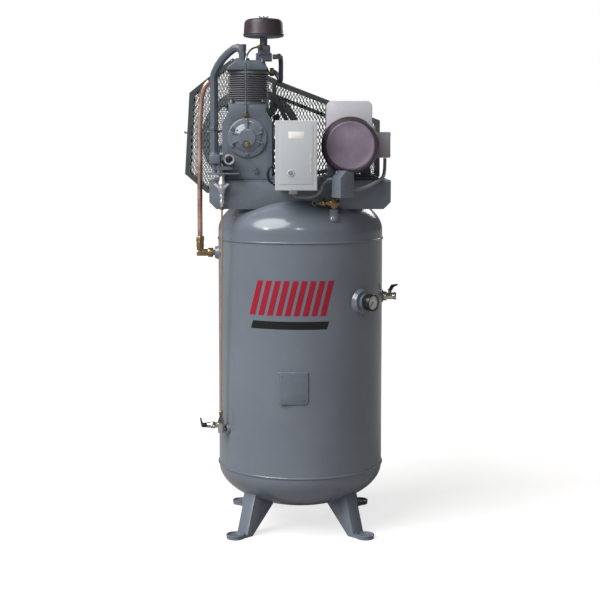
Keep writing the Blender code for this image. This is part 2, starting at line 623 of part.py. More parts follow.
def build_control_box(light, black, red):
    left, right = BOX_X
    low, high = BOX_Z
    front, back = BOX_Y
    t = BOX_SHEET
    tray = block((left, right), (LID_Y + GAP, back), (low, high))
    room = block((left + t, right - t), (LID_Y - 0.01, back - t), (low + t, high - t))
    hinge = (left - 0.002, LID_Y, 0)
    hub = rod((-0.025, -0.290, low - 0.014), (-0.025, -0.290, low + 0.001), 0.016, 16)
    node("control_box_tray", union(cut(tray, room), hub), light)
    lid = block((left, right), (front, LID_Y), (low, high), 0.0015)
    inside = block((left + t, right - t), (front + t, LID_Y + 0.01), (low + t, high - t))
    hole = rod((-0.033, front - 0.01, 1.3215), (-0.033, front + 0.01, 1.3215), 0.0075, 14)
    node("control_box_lid", cut(lid, inside, hole), light, hinge)
    at = (-0.033, front, 1.3215)
    button = turned([(0, -0.004), (0.0065, -0.004), (0.0070, -0.003), (0.0070, 0.0025), (0.0095, 0.0025),
                     (0.0095, 0.0045), (0, 0.0045)], at, (0, 1, 0), 16)
    node("reset_button", button, red, at)
    bay = back - t - GAP
    body = block((-0.052, 0.022), (bay - 0.060, bay), (1.325, 1.435), 0.002)
    node("contactor", body, black)


def build_motor_conduit(grey):
    motor_lead = [(0.307, -0.100, 1.3710), (0.307, -0.104, 1.350), (0.302, -0.150, 1.318),
                  (0.290, -0.205, 1.300), (0.262, -0.243, 1.284), (0.225, -0.264, 1.268),
                  (0.194, -0.2823, 1.262), (0.1755, -0.2968, 1.262)]
    node("motor_conduit", tube(motor_lead, 0.0065, 2, 2), grey)


def build_pressure_switch(grey, brass, steel):
    """Switch on its manifold over the tank head, with the safety valve on a side branch."""
    x, y = SWITCH_AT
    nipple = rod((x, y, 1.1925), (x, y, 1.2355), 0.008, 14)
    cross = rod((x - 0.020, y, 1.214), (x + 0.020, y, 1.214), 0.0115, 14)
    collar = rod((x, y, 1.198), (x, y, 1.229), 0.0135, 16)
    valve = turned([(0, -0.001), (0.0085, -0.001), (0.0085, 0.008), (0.0130, 0.010), (0.0130, 0.022),
                    (0.0095, 0.024), (0.0095, 0.034), (0.0045, 0.036), (0, 0.036)],
                   (x - 0.0203, y, 1.214), (-1, 0, 0), 16)
    node("safety_valve_manifold", union(nipple, cross, collar, valve), brass)
    pull = (x - 0.0203 - 0.0365, y, 1.214)
    stem = rod(pull, (pull[0] - 0.004, y, 1.214), 0.0025, 12)
    ring = turned([(0.008 + 0.0014 * math.cos(a), 0.0014 * math.sin(a))
                   for a in (math.pi / 4 * k for k in range(8))],
                  (pull[0] - 0.0115, y, 1.214), (0, 1, 0), 16)
    node("safety_valve_ring", union(ring, stem), steel, pull)
    outline = [(-0.030, 1.236), (0.030, 1.236), (0.030, 1.322), (-0.004, 1.330), (-0.030, 1.305)]
    case = prism(outline, (-0.024, 0.024))
    case.data.transform(Matrix.Translation((x + 0.030, y - 0.068, 0))
                        @ Matrix.Rotation(math.radians(38), 4, "Z"))
    foot = rod((x, y, 1.2358), (x, y, 1.2540), 0.012)
    arm = rod((x, y, 1.2450), (x + 0.020, y - 0.048, 1.2450), 0.0075)
    node("pressure_switch", union(case, foot, arm), grey)


def build_pilot(grey, zinc, copper):
    """Pilot group under the aftercooler: block with its gauge, winged drain valve and tube."""
    x, y = -0.279, -0.215
    body = block((-0.320, -0.284), (-0.232, -0.026), (1.352, 1.384), 0.004)
    seat = rod((-0.3175, FIRST_Y + 0.074, 1.352), (-0.3175, FIRST_Y + 0.074, 1.3915), 0.018, 16)
    gauge = turned([(0, 0), (0.0165, 0), (0.0185, -0.003), (0.0185, -0.026), (0.0150, -0.028),
                    (0.0150, -0.024), (0, -0.024)], (-0.2515, y + 0.010, 1.3673), (0, 1, 0), 20)
    link = rod((-0.290, y + 0.004, 1.3673), (-0.262, y + 0.004, 1.3673), 0.008, 14)
    posts = [rod((px, y, 1.318), (px, y, 1.354), 0.0085, 16) for px in (-0.306, x - 0.010)]
    bar = block((-0.312, -0.240), (y - 0.007, y + 0.007), (1.330, 1.343))
    plate = block((-0.3285, -0.217), (y - 0.022, y + 0.022), (1.3145, 1.3200))
    node("pilot_block", union(body, seat, link, gauge, *posts, bar, plate), grey)
    outline = [(0, 1.244), (0.009, 1.244), (0.010, 1.250), (0.0145, 1.258), (0.0145, 1.288),
               (0.011, 1.294), (0.011, 1.3142), (0, 1.3142)]
    nuts = [rod((x, y, low), (x, y, low + 0.013), 0.0085, 6) for low in (1.2305, 1.2095)]
    joiner = rod((x, y, 1.200), (x, y, 1.2457), 0.006, 12)
    node("pilot_valve", union(turned(outline, (x, y, 0), steps=16), joiner, *nuts), zinc)
    pivot = (x, y - 0.0150, 1.266)
    hub = rod((x, y - 0.0150, 1.266), (x, y - 0.0210, 1.266), 0.007, 14)
    ears = []
    for side in (-1, 1):
        outline = [(x, 1.260), (x + side * 0.016, 1.2665), (x + side * 0.0285, 1.281),
                   (x + side * 0.0200, 1.2830), (x + side * 0.010, 1.273), (x, 1.272)]
        ears.append(prism(outline, (y - 0.0205, y - 0.0175)))
    node("pilot_wing_handle", union(hub, *ears), zinc, pivot)
    out = Vector((math.cos(DRAIN_TURN), math.sin(DRAIN_TURN), 0)) * 0.334
    line = [(x, y, 1.1985), (x, y, 1.170), (-0.282, -0.200, 1.00), (out.x - 0.001, out.y - 0.002, 0.60),
            (out.x, out.y, 0.470), (out.x, out.y, 0.4403)]
    node("drain_tube", tube(line, 0.0035, 2, 2), copper)


# ---------------------------------------------------------------- air line and valves

def build_air_line(copper, brass):
    """Copper line from the aftercooler down to the receiver's inlet."""
    x = -0.3735
    start = (-0.3175 - 0.0175, FIRST_Y + 0.074, 1.652)
    line = [start, (start[0] - 0.008, start[1], 1.652), (-0.352, start[1] + 0.006, 1.635),
            (-0.364, start[1] + 0.014, 1.600), (-0.368, -0.010, 1.540), (x + 0.001, -0.003, 1.350),
            (x, 0.0, 1.150), (x, 0.0, INLET_Z + 0.0425)]
    node("discharge_tube", tube(line, 0.0095, 2, 2), copper)
    nut = rod((x, 0, INLET_Z + 0.020), (x, 0, INLET_Z + 0.042), 0.0155, 6)
    barrel = rod((x, 0, INLET_Z - 0.012), (x, 0, INLET_Z + 0.030), 0.0130, 16)
    across = rod((x - 0.011, 0, INLET_Z), (x + 0.028, 0, INLET_Z), 0.0130, 16)
    check = turned([(0, -0.001), (0.012, -0.001), (0.012, 0.002), (0.0175, 0.002), (0.0175, 0.020),
                    (0.0105, 0.021), (0.0105, 0.0265), (0, 0.0265)], (x + 0.028, 0, INLET_Z), (1, 0, 0), 16)
    node("inlet_check_valve", union(nut, barrel, across, check), brass)


def build_pressure_gauge(black, red):
    """Back-entry dial gauge on the shell's large boss."""
    out = Vector((math.cos(GAUGE_TURN), math.sin(GAUGE_TURN), 0))

    def along(reach):
        return out * reach + Vector((0, 0, GAUGE_Z))

    bush = turned([(0, 0), (0.029, 0), (0.029, 0.006), (0.020, 0.008), (0.020, 0.014),
                   (0.008, 0.015), (0.008, 0.020), (0, 0.020)], along(0.3203), out, 16)
    case = turned([(0, 0), (0.026, 0), (0.0300, 0.003), (0.0300, 0.024), (0.0265, 0.024),
                   (0.0265, 0.018), (0, 0.018)], along(0.3391), out, 22)
    node("pressure_gauge", union(bush, case), black)
    hub = along(0.3391 + 0.0187)
    pointer = block((-0.002, 0.002), (-0.006, 0.019), (0, 0.001))
    needle = union(pointer, rod((0, 0, 0), (0, 0, 0.0015), 0.0035, 12))
    up = Vector((0, 0, 1))
    dial = Matrix((up.cross(out), up, out)).transposed().to_4x4()
    needle.data.transform(Matrix.Translation(hub) @ dial @ Matrix.Rotation(math.radians(135), 4, "Z"))
    node("gauge_needle", needle, red, hub)


def build_outlet(chrome, black):
    """Ball valve on the right-hand coupling, bored through, with a short lever on top."""
    z, start = OUTLET_Z, OUTLET_REACH + GAP
    outline = [(0.008, 0), (0.0175, 0), (0.0175, 0.012), (0.0125, 0.014), (0.0125, 0.038),
               (0.0145, 0.040), (0.0145, 0.048), (0.008, 0.048)]
    body = turned(outline, (start, 0, z), (1, 0, 0), 20)
    stem_x = start + 0.025
    stem = rod((stem_x, 0, z + 0.010), (stem_x, 0, z + 0.0210), 0.0065, 14)
    node("outlet_valve_body", union(body, stem), chrome)
    top = z + 0.0213
    lever = prism([(stem_x - 0.009, top), (stem_x + 0.008, top), (stem_x + 0.014, top + 0.012),
                   (stem_x + 0.030, top + 0.020), (stem_x + 0.028, top + 0.024),
                   (stem_x + 0.004, top + 0.020), (stem_x - 0.004, top + 0.004),
                   (stem_x - 0.009, top + 0.004)], (-0.007, 0.007))
    node("outlet_valve_lever", lever, black, (stem_x, 0, top))


def build_drain_valve(metal, black):
    """Drain valve: nipple from the shell, riser to the drain tube, barrel and lever to the left."""
    out = Vector((math.cos(DRAIN_TURN), math.sin(DRAIN_TURN), 0))
    root = out * (TANK_R + 0.0103) + Vector((0, 0, DRAIN_Z))
    hub = out * 0.334 + Vector((0, 0, DRAIN_Z))
    nipple = rod(root, hub, 0.0075, 14)
    riser = turned([(0, -0.012), (0.0110, -0.012), (0.0125, 0.030), (0.0060, 0.048), (0.0060, 0.0550), (0, 0.0550)],
                   hub, steps=16)
    level = hub.z + 0.016
    barrel = rod((hub.x, hub.y, level), (hub.x - 0.050, hub.y, level), 0.0100, 14)
    collar = rod((hub.x - 0.022, hub.y, level), (hub.x - 0.036, hub.y, level), 0.0130, 6)
    node("drain_valve_body", union(nipple, riser, barrel, collar), metal)
    x = hub.x - 0.0503
    boss = rod((x, hub.y, level), (x - 0.018, hub.y, level), 0.0085, 14)
    paddle = prism([(x - 0.010, level - 0.007), (x - 0.021, level - 0.004), (x - 0.026, level + 0.026),
                    (x - 0.022, level + 0.026), (x - 0.016, level + 0.006), (x - 0.010, level + 0.007)],
                   (hub.y - 0.006, hub.y + 0.006))
    node("drain_valve_lever", union(boss, paddle), black, (x, hub.y, level))


# ---------------------------------------------------------------- assembly

def clear_scene():
    for old in list(bpy.data.objects):
        bpy.data.objects.remove(old)


def main():
    clear_scene()
    grey = paint("blue_grey_enamel", "7b828c", 0.35)
    deep = paint("pump_enamel", "6b727c", 0.45)
    mauve = paint("mauve_enamel", "75687a", 0.40)
    brown = paint("plum_enamel", "43373f", 0.35)
    lavender = paint("pale_lavender_enamel", "cfccd4", 0.40)
    light = paint("light_grey_enamel", "c5c9cc", 0.40)
    wire = paint("guard_enamel", "565e66", 0.50)
    steel = paint("bright_steel", "b4b6b8", 0.35, 1.0)
    alloy = paint("cast_aluminium", "a8a9ab", 0.45, 1.0)
    zinc = paint("zinc_plate", "d4d5d7", 0.35, 1.0)
    chrome = paint("chrome_plate", "d8d9da", 0.15, 1.0)
    brass = paint("brass", "a98a63", 0.35, 1.0)
    copper = paint("copper", "b98a78", 0.35, 1.0)
    rubber = paint("belt_rubber", "1b1b1c", 0.80)
    black = paint("black_plastic", "1c1c1e", 0.45)
    red = paint("red_plastic", "9c2a2e", 0.45)
    foam = paint("filter_felt", "b9ad92", 0.90)

    build_receiver(grey)
    build_legs(grey)
    build_deck(grey)
    build_crankcase(deep, grey)
    build_crankshaft(steel)
    build_cylinder("first_stage_cylinder", FIRST_Y, FIRST_BORE, 0.075, deep)
    build_cylinder("second_stage_cylinder", SECOND_Y, SECOND_BORE, 0.070, deep)
    build_piston("first_stage", FIRST_Y, FIRST_BORE, -1, alloy, steel)
    build_piston("second_stage", SECOND_Y, SECOND_BORE, 1, alloy, steel)
    build_head(deep)
    build_intake(deep, brown, foam)
    build_pump_pipes(deep, zinc)
    build_flywheel(deep)
    build_motor(grey, mauve, lavender, steel)
    build_motor_pulley(deep)
    build_belt(rubber)
    build_guard(wire)
    build_control_box(light, black, red)
    build_motor_conduit(wire)
    build_pressure_switch(grey, brass, steel)
    build_pilot(grey, zinc, copper)
    build_air_line(copper, brass)
    build_pressure_gauge(black, red)
    build_outlet(chrome, black)
    build_drain_valve(steel, black)

    base = bpy.data.objects.new("base", None)
    bpy.context.scene.collection.objects.link(base)
    base.location = (*BASE_SHIFT, 0)
    for piece in [obj for obj in bpy.data.objects if obj.type == "MESH"]:
        piece.parent = base


main()
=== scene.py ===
"""Vertical two-stage air compressor on a steel receiver: the finished look over the fixed CAD frame.

Run as a script it makes every piece, the floor, the lights and the camera. The layout is an add-on's.
Sizes are metres in the frame's own axes: X to the right, Y to the back, Z up from the floor.
"""
import json
import math

import bmesh
import bpy
from mathutils import Matrix, Vector

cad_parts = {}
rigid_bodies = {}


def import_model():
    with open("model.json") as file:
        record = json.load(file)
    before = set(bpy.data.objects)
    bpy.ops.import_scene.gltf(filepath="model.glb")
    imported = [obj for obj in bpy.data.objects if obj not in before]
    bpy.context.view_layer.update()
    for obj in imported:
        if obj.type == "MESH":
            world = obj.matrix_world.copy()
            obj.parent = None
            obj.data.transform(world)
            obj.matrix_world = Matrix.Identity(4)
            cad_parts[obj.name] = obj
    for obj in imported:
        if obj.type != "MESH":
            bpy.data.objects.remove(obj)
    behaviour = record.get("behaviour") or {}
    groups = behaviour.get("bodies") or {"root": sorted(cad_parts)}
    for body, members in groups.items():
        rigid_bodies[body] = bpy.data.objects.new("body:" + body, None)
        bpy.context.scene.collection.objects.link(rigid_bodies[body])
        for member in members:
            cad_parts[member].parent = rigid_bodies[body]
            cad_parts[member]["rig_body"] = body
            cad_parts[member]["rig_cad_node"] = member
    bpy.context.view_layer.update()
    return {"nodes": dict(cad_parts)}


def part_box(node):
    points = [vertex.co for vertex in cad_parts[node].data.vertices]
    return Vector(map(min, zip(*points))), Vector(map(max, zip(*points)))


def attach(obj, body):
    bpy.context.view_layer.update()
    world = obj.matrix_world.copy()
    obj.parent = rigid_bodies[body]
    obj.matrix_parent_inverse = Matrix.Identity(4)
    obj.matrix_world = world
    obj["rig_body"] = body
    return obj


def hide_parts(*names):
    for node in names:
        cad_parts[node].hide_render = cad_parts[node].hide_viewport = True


bl_info = {
    "name": "Vertical air compressor",
    "version": (1, 0, 0),
    "blender": (4, 5, 0),
    "location": "View3D > Sidebar > Compressor",
    "description": "Makes the pieces of a vertical two-stage air compressor, one group at a time",
    "category": "Object",
}

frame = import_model()
CAD = frame["nodes"]


def middle(name):
    """The middle of a CAD node's box at rest."""
    low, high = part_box(name)
    return (low + high) / 2


# The receiver's upright axis. Every place below is given from it, and from the floor.
AXIS = Vector((middle("tank_bottom_head").x, middle("tank_bottom_head").y, 0))
# The CAD shell is faceted: its box is this much short of the true radius on each side.
FACET_LOSS = 0.0009
TANK_RADIUS = (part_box("tank_bottom_head")[1].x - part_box("tank_bottom_head")[0].x) / 2 + FACET_LOSS
LOWER_SEAM, UPPER_SEAM = 0.235, 1.075
BEAD_RADIUS, BEAD_RIPPLE = 0.0042, 0.9992
EPS = 0.00002


# ---------------------------------------------------------------- sizes and colours

class CompressorColours(bpy.types.PropertyGroup):
    """The paints and plastics, as sRGB hex values."""

    enamel: bpy.props.StringProperty(
        name="Enamel", description="Receiver, deck, legs and motor", default="#717883")
    pump: bpy.props.StringProperty(
        name="Pump paint", description="Cast iron pump and pipes", default="#616974")
    plum: bpy.props.StringProperty(
        name="Plum", description="Intake filter cover", default="#43373F")
    mauve: bpy.props.StringProperty(
        name="Mauve", description="Raised face of the motor's fan cover", default="#86788A")
    capacitor: bpy.props.StringProperty(
        name="Capacitor cover", description="Pressed cover on the motor", default="#CBC8D0")
    box: bpy.props.StringProperty(
        name="Control box", description="Powder coat of the control box", default="#C3C8CB")
    guard: bpy.props.StringProperty(
        name="Guard", description="Powder coat of the belt guard", default="#4B5253")
    bars: bpy.props.StringProperty(
        name="Bars", description="Slanted bars on the receiver", default="#A3142F")


class CompressorSizes(bpy.types.PropertyGroup):
    """Sizes a maker would change without touching the frame."""

    mesh_across: bpy.props.FloatProperty(
        name="Mesh across", description="Width of one opening in the guard's mesh",
        default=0.0125, min=0.006, max=0.05, unit="LENGTH", subtype="DISTANCE")
    mesh_along: bpy.props.FloatProperty(
        name="Mesh along", description="Height of one opening in the guard's mesh",
        default=0.026, min=0.01, max=0.08, unit="LENGTH", subtype="DISTANCE")
    strand: bpy.props.FloatProperty(
        name="Strand", description="Width of one strand of the mesh",
        default=0.0026, min=0.001, max=0.006, unit="LENGTH", subtype="DISTANCE")
    fin_gap: bpy.props.FloatProperty(
        name="Fin spacing", description="From one cylinder fin to the next",
        default=0.0078, min=0.006, max=0.03, unit="LENGTH", subtype="DISTANCE")
    bar_count: bpy.props.IntProperty(
        name="Bars", description="How many slanted bars are on the receiver", default=9, min=2, max=24)
    tank_sides: bpy.props.IntProperty(
        name="Receiver steps", description="Steps round the receiver", default=144, min=32, max=256)
    gauge_steps: bpy.props.IntProperty(
        name="Dial steps", description="Numbered steps on the pressure gauge", default=8, min=4, max=16)


def colours():
    return bpy.context.scene.compressor_colours


def sizes():
    return bpy.context.scene.compressor_sizes


# ---------------------------------------------------------------- materials

def linear(code):
    """An sRGB hex value as the linear colour that a shader takes."""
    code = code.lstrip("#")
    channels = [int(code[at:at + 2], 16) / 255 for at in (0, 2, 4)]
    return tuple(c / 12.92 if c <= 0.04045 else ((c + 0.055) / 1.055) ** 2.4 for c in channels) + (1.0,)


def scaled(code, factor):
    """The same colour, lighter or darker by factor."""
    return tuple(min(1.0, channel * factor) for channel in linear(code)[:3]) + (1.0,)


def add(tree, kind, settings=None, links=None):
    """Adds one node, gives its inputs and properties their values, and links its inputs."""
    made = tree.nodes.new(kind)
    for name, value in (settings or {}).items():
        if isinstance(name, int) or name in made.inputs:
            made.inputs[name].default_value = value
        else:
            setattr(made, name, value)
    for name, socket in (links or {}).items():
        tree.links.new(socket, made.inputs[name])
    return made


def blank(name):
    """A new material: its tree, its shader and the piece's own coordinates."""
    found = bpy.data.materials.get(name)
    if found:
        return found, None, None, None
    made = bpy.data.materials.new(name)
    made.use_nodes = True
    tree = made.node_tree
    tree.nodes.clear()
    shader = add(tree, "ShaderNodeBsdfPrincipled")
    add(tree, "ShaderNodeOutputMaterial", links={"Surface": shader.outputs["BSDF"]})
    place = add(tree, "ShaderNodeTexCoord").outputs["Object"]
    return made, tree, shader, place


def grain(tree, place, size_mm, detail=3.0):
    """Even noise whose lumps are about size_mm across."""
    settings = {"Scale": 1000.0 / size_mm / 2.0, "Detail": detail, "Roughness": 0.55}
    return add(tree, "ShaderNodeTexNoise", settings, {"Vector": place}).outputs["Fac"]


def between(tree, value, low, high, from_low=0.35, from_high=0.65):
    """Stretches a noise value to run from low to high."""
    settings = {"From Min": from_low, "From Max": from_high, "To Min": low, "To Max": high}
    return add(tree, "ShaderNodeMapRange", settings, {"Value": value}).outputs["Result"]


def tint(tree, factor, first, second):
    """One colour turning to another as factor goes from 0 to 1."""
    made = add(tree, "ShaderNodeMix", {"data_type": "RGBA"})
    made.inputs[6].default_value = first
    made.inputs[7].default_value = second
    tree.links.new(factor, made.inputs[0])
    return made.outputs[2]


def dimpled(tree, shader, height, depth_mm, strength=1.0):
    """Raises the surface by height, depth_mm at most."""
    bump = add(tree, "ShaderNodeBump", {"Distance": depth_mm / 1000, "Strength": strength},
               {"Height": height})
    tree.links.new(bump.outputs["Normal"], shader.inputs["Normal"])


def painted(name, code, rough, peel_mm, peel_depth, dust=0.10, coat=0.0):
    """Paint over metal: slow drift of shade, a light film of dust, and the peel the spray gun leaves."""
    made, tree, shader, place = blank(name)
    if tree is None:
        return made
    drift = grain(tree, place, 160, 2.0)
    shade = tint(tree, between(tree, drift, 0.0, 1.0), scaled(code, 0.93), scaled(code, 1.06))
    film = between(tree, grain(tree, place, 24, 5.0), 0.0, dust, 0.45, 0.75)
    dusted = add(tree, "ShaderNodeMix", {"data_type": "RGBA"}, {0: film, 6: shade})
    dusted.inputs[7].default_value = scaled(code, 1.5)
    tree.links.new(dusted.outputs[2], shader.inputs["Base Color"])
    sheen = between(tree, grain(tree, place, 45, 4.0), rough * 0.88, rough * 1.18)
    tree.links.new(sheen, shader.inputs["Roughness"])
    dimpled(tree, shader, grain(tree, place, peel_mm, 2.0), peel_depth)
    shader.inputs["IOR"].default_value = 1.5
    shader.inputs["Coat Weight"].default_value = coat
    shader.inputs["Coat Roughness"].default_value = rough * 0.5
    return made


def bare_metal(name, code, rough, grain_mm, depth, stain=None, stain_mm=18):
    """Metal with its tool marks or cast skin, and where it has one, a stain in patches."""
    made, tree, shader, place = blank(name)
    if tree is None:
        return made
    patches = between(tree, grain(tree, place, stain_mm, 4.0), 0.0, 1.0, 0.38, 0.70)
    shade = tint(tree, patches, scaled(code, 1.04), stain or scaled(code, 0.82))
    tree.links.new(shade, shader.inputs["Base Color"])
    sheen = between(tree, grain(tree, place, stain_mm / 3, 4.0), rough * 0.75, rough * 1.3)
    tree.links.new(sheen, shader.inputs["Roughness"])
    dimpled(tree, shader, grain(tree, place, grain_mm, 3.0), depth)
    shader.inputs["Metallic"].default_value = 1.0
    return made


def moulded(name, code, rough, grain_mm=0.9, depth=0.03):
    """Moulded plastic or rubber: fine spark-eroded grain and rubbed, slightly shinier patches."""
    made, tree, shader, place = blank(name)
    if tree is None:
        return made
    worn = between(tree, grain(tree, place, 30, 4.0), 0.0, 1.0)
    tree.links.new(tint(tree, worn, scaled(code, 0.88), scaled(code, 1.15)), shader.inputs["Base Color"])
    tree.links.new(between(tree, grain(tree, place, 14, 3.0), rough * 0.85, rough * 1.15),
                   shader.inputs["Roughness"])
    dimpled(tree, shader, grain(tree, place, grain_mm, 2.0), depth)
    shader.inputs["IOR"].default_value = 1.49
    return made


def machinery_enamel():
    """Two-pack machinery enamel on plate steel: wet gloss with a faint orange peel, drawn 5 mm wide."""
    return painted("machinery_enamel", colours().enamel, 0.20, 5.0, 0.06, 0.08, 0.35)


def folded_enamel():
    """The same enamel on folded sheet and the motor, a little flatter and dustier."""
    return painted("folded_enamel", scaled_hex(colours().enamel, 0.96), 0.30, 4.0, 0.06, 0.18, 0.15)


def scaled_hex(code, factor):
    """An sRGB hex value made lighter or darker by factor."""
    code = code.lstrip("#")
    return "#" + "".join(f"{min(255, round(int(code[at:at + 2], 16) * factor)):02X}" for at in (0, 2, 4))


def cast_iron_paint():
    """Paint over sand-cast iron: the sand's 2.5 mm lumps show through a satin coat."""
    return painted("cast_iron_paint", colours().pump, 0.36, 2.5, 0.22, 0.16)


def plum_plastic():
    """Glass-filled nylon cover: dark plum, satin, with a fine moulded grain."""
    return moulded("plum_plastic", colours().plum, 0.38, 1.2, 0.03)


def mauve_plastic():
    """Moulded fan cover face: dusty mauve, satin."""
    return moulded("mauve_plastic", colours().mauve, 0.42, 1.2, 0.03)


def pressed_cover_paint():
    """Pale baked paint on the pressed steel capacitor cover: smooth and softly glossy."""
    return painted("pressed_cover_paint", colours().capacitor, 0.30, 4.0, 0.04, 0.05, 0.1)


def powder_coat():
    """Pale textured powder coat on sheet steel: even 1.5 mm pimples, satin."""
    return painted("powder_coat", colours().box, 0.42, 1.5, 0.07, 0.06)


def guard_coat():
    """Dark powder coat on the guard's sheet steel: satin with a film of dust in patches."""
    return painted("guard_coat", colours().guard, 0.45, 1.8, 0.08, 0.25)


def turned_steel():
    """Turned carbon steel: grey with fine tool marks and a dry bloom."""
    return bare_metal("turned_steel", "#9EA1A6", 0.30, 1.2, 0.03)


def machined_aluminium():
    """Machined aluminium: pale, soft sheen."""
    return bare_metal("machined_aluminium", "#C9CBCE", 0.34, 1.4, 0.03)


def zinc_plate():
    """Bright zinc plating: white-blue metal with a passivated cloudiness."""
    return bare_metal("zinc_plate", "#A6AAAF", 0.32, 1.6, 0.03, linear("#878C92"), 9)


def nickel_plate():
    """Nickel-plated brass: bright and warm with a polished skin."""
    return bare_metal("nickel_plate", "#D2CFC9", 0.16, 2.5, 0.02, linear("#BDB6A8"), 14)


def forged_brass():
    """Forged brass: tan gold, dulled by handling in patches."""
    return bare_metal("forged_brass", "#B39A6E", 0.34, 1.8, 0.06, linear("#7A684C"), 12)


def drawn_copper():
    """Drawn copper tube: pink and bright, tarnished to brown in long patches."""
    return bare_metal("drawn_copper", "#EFC9B8", 0.36, 8.0, 0.01, linear("#DDAE99"), 60)


def cast_zinc():
    """Die-cast zinc, left bare: near white, dull, with a fine cast skin."""
    return bare_metal("cast_zinc", "#DEDFE2", 0.46, 1.4, 0.04, linear("#BFC1C6"), 10)


def barrel_paint():
    """Heat-dulled paint on the finned iron barrels: warmer and flatter than the case."""
    return painted("barrel_paint", "#75757A", 0.46, 2.2, 0.18, 0.2)


def junction_box_paint():
    """Baked paint on the pressed junction box: warm pale grey, softly glossy."""
    return painted("junction_box_paint", "#9C969E", 0.32, 3.0, 0.05, 0.1)


def mesh_coat():
    """The guard's coat on the expanded mesh, painted paler than the frame as a painted highlight for the
    light the strands catch, with a dry film of dust.
    """
    return painted("mesh_coat", "#7F8584", 0.42, 1.2, 0.05, 0.3)


def grey_button():
    """Moulded push button: mid grey, glossy."""
    return moulded("grey_button", "#86898B", 0.3)


def belt_rubber():
    """Wrapped V-belt: matt black rubber on a woven cover, its 2 mm weave just showing."""
    return moulded("belt_rubber", "#1B1B1D", 0.72, 2.0, 0.12)


def black_plastic():
    """Black moulded plastic: satin with a fine grain."""
    return moulded("black_plastic", "#17181A", 0.40)


def grey_conduit():
    """Grey flexible PVC conduit: satin, with the slight waviness of its reinforcement."""
    return moulded("grey_conduit", "#85888C", 0.45, 3.0, 0.10)


def black_paint():
    """Black baked paint on small steel parts: semi-gloss."""
    return painted("black_paint", "#1D1E20", 0.32, 2.0, 0.04, 0.2)


def red_plastic():
    """Red moulded button plastic: glossy."""
    return moulded("red_plastic", "#B3201C", 0.28)


def pleated_felt():
    """Resin-bonded paper of the filter element: buff and fibrous."""
    return moulded("pleated_felt", "#B9AE94", 0.9, 1.4, 0.3)


def red_film():
    """Self-adhesive vinyl: flat even red with a soft gloss, taking the peel of the paint below."""
    return painted("red_film", colours().bars, 0.30, 5.0, 0.05, 0.03)


def black_film():
    """Self-adhesive vinyl: black, soft gloss."""
    return painted("black_film", "#141416", 0.30, 5.0, 0.05, 0.03)


def dial_card():
    """Printed dial: matt white card with a faint tooth."""
    return moulded("dial_card", "#EDEBE6", 0.62, 0.8, 0.01)


def dial_ink():
    """Screen-printed ink on the dial: matt black."""
    return moulded("dial_ink", "#161616", 0.7, 0.8, 0.01)


def lens_glass():
    """Clear acrylic lens or sight glass: colourless, polished, with the faintest ripple."""
    made, tree, shader, place = blank("lens_glass")
    if tree is None:
        return made
    shader.inputs["Base Color"].default_value = (0.93, 0.95, 0.95, 1.0)
    shader.inputs["Alpha"].default_value = 0.12
    shader.inputs["IOR"].default_value = 1.45
    tree.links.new(between(tree, grain(tree, place, 12, 2.0), 0.02, 0.07), shader.inputs["Roughness"])
    dimpled(tree, shader, grain(tree, place, 20, 1.0), 0.02)
    return made


# ---------------------------------------------------------------- the maker's tools

def clear_selection():
    """Leaves everything deselected, in object mode."""
    if bpy.context.mode != "OBJECT":
        bpy.ops.object.mode_set(mode="OBJECT")
    bpy.ops.object.select_all(action="DESELECT")


def only(obj):
    """Selects one object and makes it active."""
    clear_selection()
    obj.select_set(True)
    bpy.context.view_layer.objects.active = obj
    return obj


def editing(obj, mode="FACE"):
    """Opens one object in edit mode with nothing selected."""
    only(obj)
    bpy.ops.object.mode_set(mode="EDIT")
    bpy.ops.mesh.select_mode(type=mode)
    bpy.ops.mesh.select_all(action="DESELECT")


def select(test, kind="faces"):
    """In edit mode, adds to the selection the faces, edges or verts that pass the test."""
    mesh = bmesh.from_edit_mesh(bpy.context.object.data)
    found = 0
    for part in getattr(mesh, kind):
        if test(part):
            part.select_set(True)
            found += 1
    mesh.select_flush_mode()
    bmesh.update_edit_mesh(bpy.context.object.data)
    return found


def outward():
    """In edit mode, merges doubles and turns every face outwards."""
    bpy.ops.mesh.select_all(action="SELECT")
    bpy.ops.mesh.remove_doubles(threshold=EPS)
    bpy.ops.mesh.normals_make_consistent(inside=False)
    bpy.ops.object.mode_set(mode="OBJECT")


def modify(obj, kind, **settings):
    """Adds a modifier and applies it."""
    only(obj)
    made = obj.modifiers.new(kind.title(), kind)
    for name, value in settings.items():
        setattr(made, name, value)
    bpy.ops.object.modifier_apply(modifier=made.name)
    return obj


def soften(obj, width, steps=2, angle=30):
    """Rounds the sharp edges by width."""
    return modify(obj, "BEVEL", width=width, segments=steps, limit_method="ANGLE",
                  angle_limit=math.radians(angle), use_clamp_overlap=True)


def settle(obj):
    """Puts the object's place and turn into its mesh."""
    only(obj)
    bpy.ops.object.transform_apply(location=True, rotation=True, scale=True)
    return obj


def facing(direction):
    """The turn that takes +Z to direction."""
    return Vector(direction).normalized().to_track_quat("Z", "Y").to_euler()


